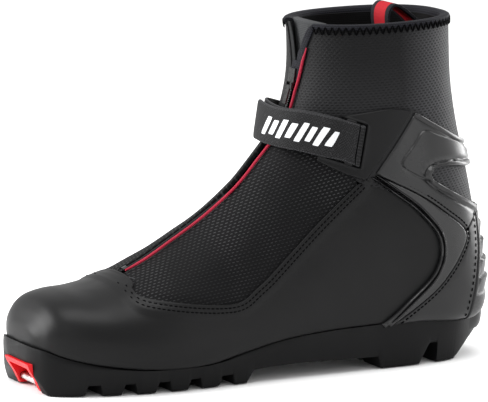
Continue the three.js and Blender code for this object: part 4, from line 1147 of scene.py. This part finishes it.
def free_strap(q, w, h):
    """A place on the free part of the strap: q along it, w up it, h off its inner face."""
    inside = min(max(q, 0), STRAP_LONG)
    p, ahead, behind = (plan_at(inside + step) for step in (0, 0.8, -0.8))
    t = (ahead - behind) / np.linalg.norm(ahead - behind)
    p = p + t * (q - inside)
    out = np.array([-t[1], t[0], 0])
    if out[0] > 0 and abs(p[1]) < 5:
        out = -out
    lean = math.radians(LEAN_FRONT + LEAN_SIDE * abs(out[1]))
    up = -out * math.sin(lean)
    up[2] = math.cos(lean)
    up = up + np.array([t[0], t[1], 0]) * STRAP_SLOPE * t[0]
    up /= np.linalg.norm(up)
    droop = 3.3 * math.exp(-(((q - 0.42 * STRAP_LONG) / 20) ** 2))
    return np.array([p[0] + 0.7 * droop, p[1], strap_z(p[0]) - droop]) + out * h + up * w


def on_wing(x, w, h, side):
    xx = x + SLANT * w
    z = strap_z(xx) + w * math.hypot(1, STRAP_SLOPE)
    p, n = at_side(xx, z, side)
    return p + n * h


BLEND = 5.0


def strap_point(q, w, h):
    """A place on the whole strap; h counts from the inner face of its base."""
    free = free_strap(q, w, h)
    if BLEND < q < STRAP_LONG - BLEND:
        return free
    if q <= BLEND:
        x = OUTER_START - q * ALONG_WING
        share = float(smooth(np.array(q), -BLEND, BLEND))
        return free * share + on_wing(x, w, GAP + h + RISE * share, -1) * (1 - share)
    x = INNER_START + (q - STRAP_LONG) * ALONG_WING
    share = 1 - float(smooth(np.array(q), STRAP_LONG - BLEND, STRAP_LONG + BLEND))
    return free * share + on_wing(x, w, ON_INNER + h + RISE * share, 1) * (1 - share)


RIBBON_COLUMNS, RIBBON_RIM, RIBBON_ROUND = 11, 0.9, 0.25


def ribbon(name, stations, place_at, low, high, width, materials, trim=lambda q: 1.0):
    """A woven band: stations along it, rounded edges and, with a second material, a finer border."""
    half = width / 2
    inner = np.linspace(-half + RIBBON_RIM, half - RIBBON_RIM, RIBBON_COLUMNS)
    ws = [-half, -half + RIBBON_ROUND, *inner, half - RIBBON_ROUND, half]
    dip = np.array([0.42, 0.1, *np.zeros(RIBBON_COLUMNS), 0.1, 0.42]) * min(high - low, 1.2)
    tops, lows, uv = [], [], []
    for q in stations:
        for w, d in zip(ws, dip):
            tops.append(place_at(q, w * trim(q), high - d))
            lows.append(place_at(q, w * trim(q), low + d))
            uv.append((q, w))
    obj = sheet(name, tops, lows, len(ws), materials, uv)
    if len(materials) > 1:
        layer = obj.data.uv_layers["Surface"].data
        for poly in obj.data.polygons:
            v = np.mean([layer[i].uv[1] for i in poly.loop_indices])
            poly.material_index = 1 if abs(v) > half - RIBBON_RIM * 0.75 else 0
    return obj


def upper_trim(q):
    """The band draws in a little where it bends round the front."""
    bend = math.exp(-(((q - STRAP_LONG * 0.45) / 16) ** 2))
    return 1 - 0.07 * bend


WEBBING = [STRAP, STRAP_EDGE]
FOLD_X = 46.6
base_stations = np.concatenate(
    [
        np.linspace((OUTER_START - FOLD_X) / ALONG_WING, 0, 9)[:-1],
        np.linspace(0, STRAP_LONG, 50),
        STRAP_LONG + np.linspace(1, (INNER_END - INNER_START) / ALONG_WING, 9),
    ]
)
base = ribbon("strap_under", base_stations, strap_point, 0.0, STRAP_THICK, STRAP_WIDTH, WEBBING, upper_trim)
ride(base, "boot", "webbing", "strap_base")
TAIL_LOW = 3.8
fold_middle = (GAP + GAP + TAIL_LOW + STRAP_THICK) / 2
fold_radius = (TAIL_LOW + STRAP_THICK) / 2


def round_fold(q, w, h):
    """The turn through the slot: q runs from 0 to 1 round it, h counts from its inner face."""
    a = math.pi * (q - 0.5)
    r = fold_radius - STRAP_THICK + h
    return on_wing(FOLD_X + r * math.cos(a), w, fold_middle + r * math.sin(a), -1)


turn = ribbon("strap_fold", np.linspace(0, 1, 14), round_fold, 0.0, STRAP_THICK, STRAP_WIDTH, WEBBING)
ride(turn, "boot", "webbing")
TAIL_FROM = (OUTER_START - 46.0) / ALONG_WING
TAIL_TO = 0.66 * STRAP_LONG
TAIL_HIGH = TAIL_LOW + STRAP_THICK
TIP = 5.0


def end_trim(q):
    left = (TAIL_TO - q) / TIP
    tip = 1.0 if left > 1 else 0.72 + 0.28 * math.sqrt(max(1 - (1 - left) ** 2, 0))
    return tip * upper_trim(q)


tail_stations = np.concatenate(
    [
        np.linspace(TAIL_FROM, 0, 9)[:-1],
        np.linspace(0, TAIL_TO - TIP, 36)[:-1],
        np.linspace(TAIL_TO - TIP, TAIL_TO, 9),
    ]
)
tail = ribbon("strap_over", tail_stations, strap_point, TAIL_LOW, TAIL_HIGH, STRAP_WIDTH, WEBBING, end_trim)
ride(tail, "tail", "webbing", "strap_tail")
patch_q = np.linspace(0.1 * STRAP_LONG, 0.6 * STRAP_LONG, 34)
loops = ribbon("loop_pile", patch_q, strap_point, 1.8, 2.5, STRAP_WIDTH - 3, [PILE], upper_trim)
ride(loops, "boot", "webbing", "loop_patch")
hooks = ribbon("hook_pile", patch_q, strap_point, 2.8, 3.5, STRAP_WIDTH - 3, [PILE], upper_trim)
ride(hooks, "tail", "webbing", "hook_patch")

# A plain pattern of slanted blocks printed on the strap.
BLOCKS, BLOCK_TALL, BLOCK_WIDE, BLOCK_STEP, BLOCK_SLANT = 8, 11.5, 3.4, 5.6, 0.28
BLOCK_ROWS, BLOCK_COLUMNS = 7, 4
print_points, print_faces = [], []
for b in range(BLOCKS):
    tall = BLOCK_TALL * (1.0 if b % 2 else 0.78)
    start = len(print_points)
    for i in range(BLOCK_ROWS):
        w = (i / (BLOCK_ROWS - 1) - 0.5) * tall
        wide = BLOCK_WIDE - (0.35 if i in (0, BLOCK_ROWS - 1) else 0.0)
        for j in range(BLOCK_COLUMNS):
            q = 4.0 + b * BLOCK_STEP + (j / (BLOCK_COLUMNS - 1) - 0.5) * wide - w * BLOCK_SLANT
            print_points.append(strap_point(q, w * upper_trim(q) - 0.4, TAIL_HIGH + 0.07))
    for i in range(BLOCK_ROWS - 1):
        for j in range(BLOCK_COLUMNS - 1):
            a = start + i * BLOCK_COLUMNS + j
            print_faces.append((a, a + 1, a + BLOCK_COLUMNS + 1, a + BLOCK_COLUMNS))
printed = mesh_object("strap_print", print_points, print_faces, PRINT, np.zeros((len(print_points), 2)))
ride(printed, "tail", "webbing")

# ---------------------------------------------------------------- pull loop and its patch
loop_low, loop_high = (np.array(c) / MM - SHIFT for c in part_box("pull_loop"))
LOOP_OUTLINE = [
    *((0, 17), (-4, 23), (-14, 32), (-23, 37.5), (-28, 35.5)),
    *((-29.5, 29), (-27, 17), (-20, 7), (-9, 1), (0, 0)),
]
ring_points = [(loop_high[0] + x, loop_low[2] + z) for x, z in LOOP_OUTLINE]
closed = spline([*ring_points[-2:], *ring_points, *ring_points[:2]], 6)[12:-6]
closed = beside(closed, 0.8)
path = np.array([(x, 0.0, z) for x, z in closed])
flow = np.gradient(path, axis=0)
loop_outs = np.stack([-flow[:, 2], 0 * flow[:, 0], flow[:, 0]], 1)
web_side = [(-10, -0.6), (-9.7, -0.8), (-6.2, -0.8), (6.2, -0.8), (9.7, -0.8), (10, -0.6)]
web_shape = [*web_side, *((-a, -h) for a, h in web_side)]
pull = sweep("heel_pull", path[:-1], loop_outs[:-1], web_shape, [RED_WEB, BINDING], closed=True)
for poly in pull.data.polygons:
    middle = np.mean([pull.data.vertices[i].co[1] for i in poly.vertices]) / MM - SHIFT[1]
    poly.material_index = 1 if abs(middle) > 6.3 else 0
ride(pull, "loop", "red_webbing", "pull_loop")
A, T = patch(
    lambda A: 12 - np.abs(A[:, 1]), lambda A: A[:, 2] - 164, lambda A: 188 - A[:, 2], lambda A: A[:, 0] - 80
)
ride(shell("loop_base", A, T, -6.2, -7.2, RED_WEB, leg_uv(A)), "boot", "webbing", "loop_anchor")

# ---------------------------------------------------------------- footbed
BED_LOW, BED_HIGH, BED_STEPS, BED_COLUMNS = 9.0, 12.6, 60, 15
BED_LEVEL, BED_MARGIN, BED_CUP = 11, 7.6, 1.6
tops, lows, uv = [], [], []
for s in np.linspace(3, HEEL, BED_STEPS):
    q = section_at(s)[0]
    tall = math.hypot(q[TOP_X] - q[LOW_X], q[TOP_Z] - q[LOW_Z])
    half = float(profile(q[None], np.array([BED_LEVEL / tall]))[0]) - BED_MARGIN
    x = q[LOW_X] + (q[TOP_X] - q[LOW_X]) * BED_LEVEL / tall
    for v in np.linspace(-1, 1, BED_COLUMNS):
        y = q[MIDDLE] + v * half
        tops.append((x, y, q[LOW_Z] + BED_HIGH + BED_CUP * abs(v) ** 4 - 0.3))
        lows.append((x, y, q[LOW_Z] + BED_LOW))
        uv.append((x, y))
bed = sheet("insole", tops, lows, BED_COLUMNS, BED, uv)
ride(bed, "boot", "lining_fabric", "footbed")

# ---------------------------------------------------------------- outsole
SOLE_EDGE, SOLE_DRAFT, SOLE_FULL = 2.2, 3.0, 31.0


def sole_plan(spare):
    """The sole's outline in plan at a distance outside the upper's flat bottom."""
    rows = ROWS[: HEEL + 1]
    edge = rows[:, FLAT] * rows[:, HALF] + spare
    nose = (ROWS[0, LOW_X] - TOE_BACK[0] - spare * 0.6, rows[0, MIDDLE])
    tail_end = (ROWS[HEEL + 1, LOW_X] + spare, 0.0)
    xs = rows[:, LOW_X].copy()
    xs[: len(TOE_BACK)] -= TOE_BACK
    one, two = (list(zip(xs, rows[:, MIDDLE] + side * edge)) for side in (-1, 1))
    ring = [nose, *one, (141.5 + spare * 0.6, -9.5), tail_end, (141.5 + spare * 0.6, 9.5), *two[::-1]]
    return spline([*ring[-2:], *ring, *ring[:3]], 10)[20:-20]


def half_outline(spare):
    ring = sole_plan(spare)
    ring = np.roll(ring, -np.argmin(ring[:, 0]), 0)
    tail_i = np.argmax(ring[:, 0])
    sides = ring[: tail_i + 1], ring[tail_i:][::-1]
    low = sides[0] if sides[0][:, 1].mean() < sides[1][:, 1].mean() else sides[1]
    high = sides[1] if low is sides[0] else sides[0]
    return low[np.argsort(low[:, 0])], high[np.argsort(high[:, 0])]


TREADS = [(-137.8, -120.5), (-110, -100), (-90.5, -80.3), (-70, -60.5), (-50.8, -40.5), (-29.5, -22)]
HEEL_TREADS = [(67.3, 92.6), (105.2, 118.6)]
SERRATION, LUG = 0.6, 6.0
ground = [(-149, 17.5), (-146.6, 16), (-141.8, 7.6)]
for i, (x0, x1) in enumerate(TREADS):
    ground += ([(x0 - 2, LUG)] if i else []) + [(x0, 0), (x1, 0)] + ([(x1 + 2, LUG)] if i < len(TREADS) - 1 else [])
ground += [(-17.5, 7.4), (10, 8.2), (64.5, 7.2), (67.3, 0), (92.6, 0), (98.4, 10.6), (99.8, 12), (104.2, 12)]
ground += [(104.9, 10.8), (105.2, 0), (118.6, 0), (125.7, 5.9), (131.1, 9.8), (139.3, 14), (147, 19)]
ground = np.array(ground, float)
fine = [np.arange(a, b, SERRATION) for a, b in (*TREADS, *HEEL_TREADS)]
stops = [np.arange(-147.4, 146, 1.1), np.arange(-147.4, -146, 0.2), np.arange(139, 145.6, 0.5), [-126.4, -126.2]]
stops = np.unique(np.round(np.concatenate([*stops, *fine, ground[:, 0], ground[:, 0] + 0.12]), 3))
low_line = spline([*ROWS[: HEEL + 1, LOW_X:TOP_X], (146, 27.5)], 6)
low_line[:, 0] -= np.interp(low_line[:, 0], (-146, -130, -120), (2, 0.6, 0))
outline_sets = [half_outline(SOLE_EDGE - SOLE_DRAFT * (1 - z / SOLE_FULL)) for z in (0, SOLE_FULL)]
x_front = max(o[0][:, 0].min() for o in outline_sets) + 0.02
x_back = min(o[0][:, 0].max() for o in outline_sets) - 0.02
stops = stops[(stops > x_front) & (stops < x_back)]


def edge_at(x, z, which):
    share = min(max(z / SOLE_FULL, 0), 1.1)
    a, b = (np.interp(x, o[which][:, 0], o[which][:, 1]) for o in outline_sets)
    return float(a + (b - a) * share)


# How far the wall stands in or out at each of its eight heights.
BEVELS = (0.5, 0.12, 0, 0, 0, 0, 0.15, 0.6)
SWELLS = (0, 0, 0.1, 0.3, 0.5, 0.4, 0.1, 0)
sole_rings = []
for x in stops:
    base_z = float(np.interp(x, ground[:, 0], ground[:, 1]))
    top_z = float(np.interp(x, low_line[:, 0], low_line[:, 1])) - 0.3
    top_z += 0.7 * float(smooth(np.array(-x), 130, 140))
    if base_z < 0.01:
        tread = next(a for a, b in (*TREADS, *HEEL_TREADS) if a <= x <= b)
        base_z += 0.7 * (round((x - tread) / SERRATION) % 2)
    y0, y1 = edge_at(x, base_z, 0), edge_at(x, base_z, 1)
    narrow = y0 > -15.2 or y1 < 15.2
    toe = x < -126.3
    if toe and narrow:
        base_z = max(base_z, 17.0)
    belt = max(base_z + 1.6, 13.0)
    heights = [base_z, base_z + 0.35, base_z + 1.4, *(belt + (top_z - belt) * k for k in (0, 0.35, 0.7, 0.9, 1.0))]
    side_a, side_b = (
        [(x, edge_at(x, z, which) + sign * (bevel - swell), z) for z, bevel, swell in zip(heights, BEVELS, SWELLS)]
        for which, sign in ((0, 1), (1, -1))
    )
    side_a = side_a[::-1]
    cave = 17.0 if toe else base_z
    rail = cave if toe else (max(base_z, 4.0) if x > -118 else base_z)
    half_under = [(15, base_z), (14.95, cave), (13, cave), (12.95, rail), (8.05, rail), (8, cave)]
    under = [*((-y, z) for y, z in half_under), *half_under[::-1]]
    y0, y1 = side_a[-1][1] + 0.05, side_b[0][1] - 0.05
    under = [(x, min(max(y, y0), y1), z) for y, z in under]
    inset_a = (x, min(side_a[0][1] + 2.5, 0.0 if side_a[0][1] < 0 else side_a[0][1] + 0.5), top_z)
    inset_b = (x, max(side_b[-1][1] - 2.5, inset_a[1] + 0.2), top_z)
    sole_rings.append([inset_a, *side_a, *under, *side_b, inset_b])
points = [v for ring in sole_rings for v in ring]
faces = tube_faces(len(sole_rings), len(sole_rings[0]))
sole_uv = np.array([(p[0], p[2]) for p in points])
sole = mesh_object("sole", points, faces, RUBBER, sole_uv, smooth_angle=32)
tidy_normals(sole)
ride(sole, "boot", "sole_rubber", "outsole")

# The guard's lip, round the back of the sole.
ring = sole_plan(0.0)
ring = np.roll(ring, -np.argmin(ring[:, 0]), 0)
around_back = resample(ring[ring[:, 0] > 126.5], 1.0)
lip_path = np.array([(x, y, 0.0) for x, y in around_back])
flow = np.gradient(lip_path, axis=0)
lip_outs = np.stack([flow[:, 1], -flow[:, 0], 0 * flow[:, 0]], 1)
if lip_outs[len(lip_outs) // 2][0] < 0:
    lip_outs = -lip_outs
_, _, lip_sides = frames(lip_path, lip_outs)
turn_up = 1.0 if lip_sides[len(lip_sides) // 2][2] > 0 else -1.0
lip_shape = [(15.6, 0.9), (15.2, 1.9), (17.5, 3.2), (21, 3.9), (27, 4.1), (33, 3.4), (37, 2.2), (37, 0.6)]
lip_shape += [(30, 1.2), (20, 1.0)]


def lip_section(share):
    return [(a * turn_up, 0.4 + (h - 0.4) * share) for a, h in lip_shape]


lip = sweep("guard_lip", lip_path, lip_outs, lip_section(1.0), BUMPER)
ends = np.minimum(np.arange(len(lip_path)), len(lip_path) - 1 - np.arange(len(lip_path)))
lip_p, lip_o, lip_s = frames(lip_path, lip_outs)
for i, left in enumerate(ends):
    share = float(smooth(np.array(left), -1, 13))
    for j, (a, h) in enumerate(lip_section(share)):
        lip.data.vertices[i * len(lip_shape) + j].co = Vector(place(lip_p[i] + lip_s[i] * a + lip_o[i] * h))
ride(lip, "boot", "sole_rubber")

# ---------------------------------------------------------------- hard parts kept from the model
KEPT = {
    "eyestay_outer": BOARD,
    "eyestay_inner": BOARD,
    "heel_stiffener": BOARD,
    "lasting_board": BOARD,
    "shank": STEEL,
    "toe_bar": STEEL,
    "toe_insert": RED_PLASTIC,
    "zip_slider": GUNMETAL,
    "zip_pull": GUNMETAL,
    "strap_rivet_1": STEEL,
    "strap_rivet_2": STEEL,
}
HARDWARE = ("toe_bar", "toe_insert", "zip_slider", "zip_pull", "strap_rivet_1", "strap_rivet_2")
for name, look in KEPT.items():
    node = bpy.data.objects[name]
    node.data.materials.clear()
    node.data.materials.append(look)
    if name in HARDWARE:
        bevel = node.modifiers.new("soft_edges", "BEVEL")
        bevel.width = (0.25 if "zip" in name else 0.3) * MM
        bevel.segments = 2
        bevel.limit_method = "ANGLE"

# ---------------------------------------------------------------- render helpers
floor_mesh = bpy.data.meshes.new("floor")
floor_mesh.from_pydata([(-6, -6, 0), (6, -6, 0), (6, 6, 0), (-6, 6, 0)], [], [(0, 1, 2, 3)])
floor = bpy.data.objects.new("floor", floor_mesh)
bpy.context.collection.objects.link(floor)
floor_look = Nodes("floor", (0.9, 0.9, 0.9), 0.9)
floor.data.materials.append(floor_look.material)
floor.location.z = float(CAD_BOX[0][2]) - 0.0005


def area(name, location, target, size, power):
    light = bpy.data.lights.new(name, "AREA")
    light.shape = "RECTANGLE"
    light.size, light.size_y = size
    light.energy = power
    obj = bpy.data.objects.new(name, light)
    bpy.context.collection.objects.link(obj)
    obj.location = location
    obj.rotation_mode = "QUATERNION"
    obj.rotation_quaternion = (Vector(target) - Vector(location)).to_track_quat("-Z", "Y")


area("top", (-0.1, -0.2, 1.5), (0, 0, 0.08), (1.2, 0.9), 20)
area("left", (-1.35, 0.75, 0.6), (-0.1, 0, 0.04), (0.9, 1.0), 40)
area("front_left", (-1.2, -1.0, 0.9), (-0.05, 0, 0.08), (0.8, 0.9), 2)
area("right", (1.5, 0.3, 0.3), (0.05, 0, 0.12), (0.6, 1.0), 20)
area("right_front", (0.9, -1.3, 0.5), (0.1, 0, 0.1), (0.4, 0.9), 3)
bpy.context.scene.view_settings.view_transform = "Standard"

world = bpy.data.worlds.new("studio")
bpy.context.scene.world = world
world.use_nodes = True
world.node_tree.nodes["Background"].inputs[0].default_value = (1, 1, 1, 1)
world.node_tree.nodes["Background"].inputs[1].default_value = 0.92
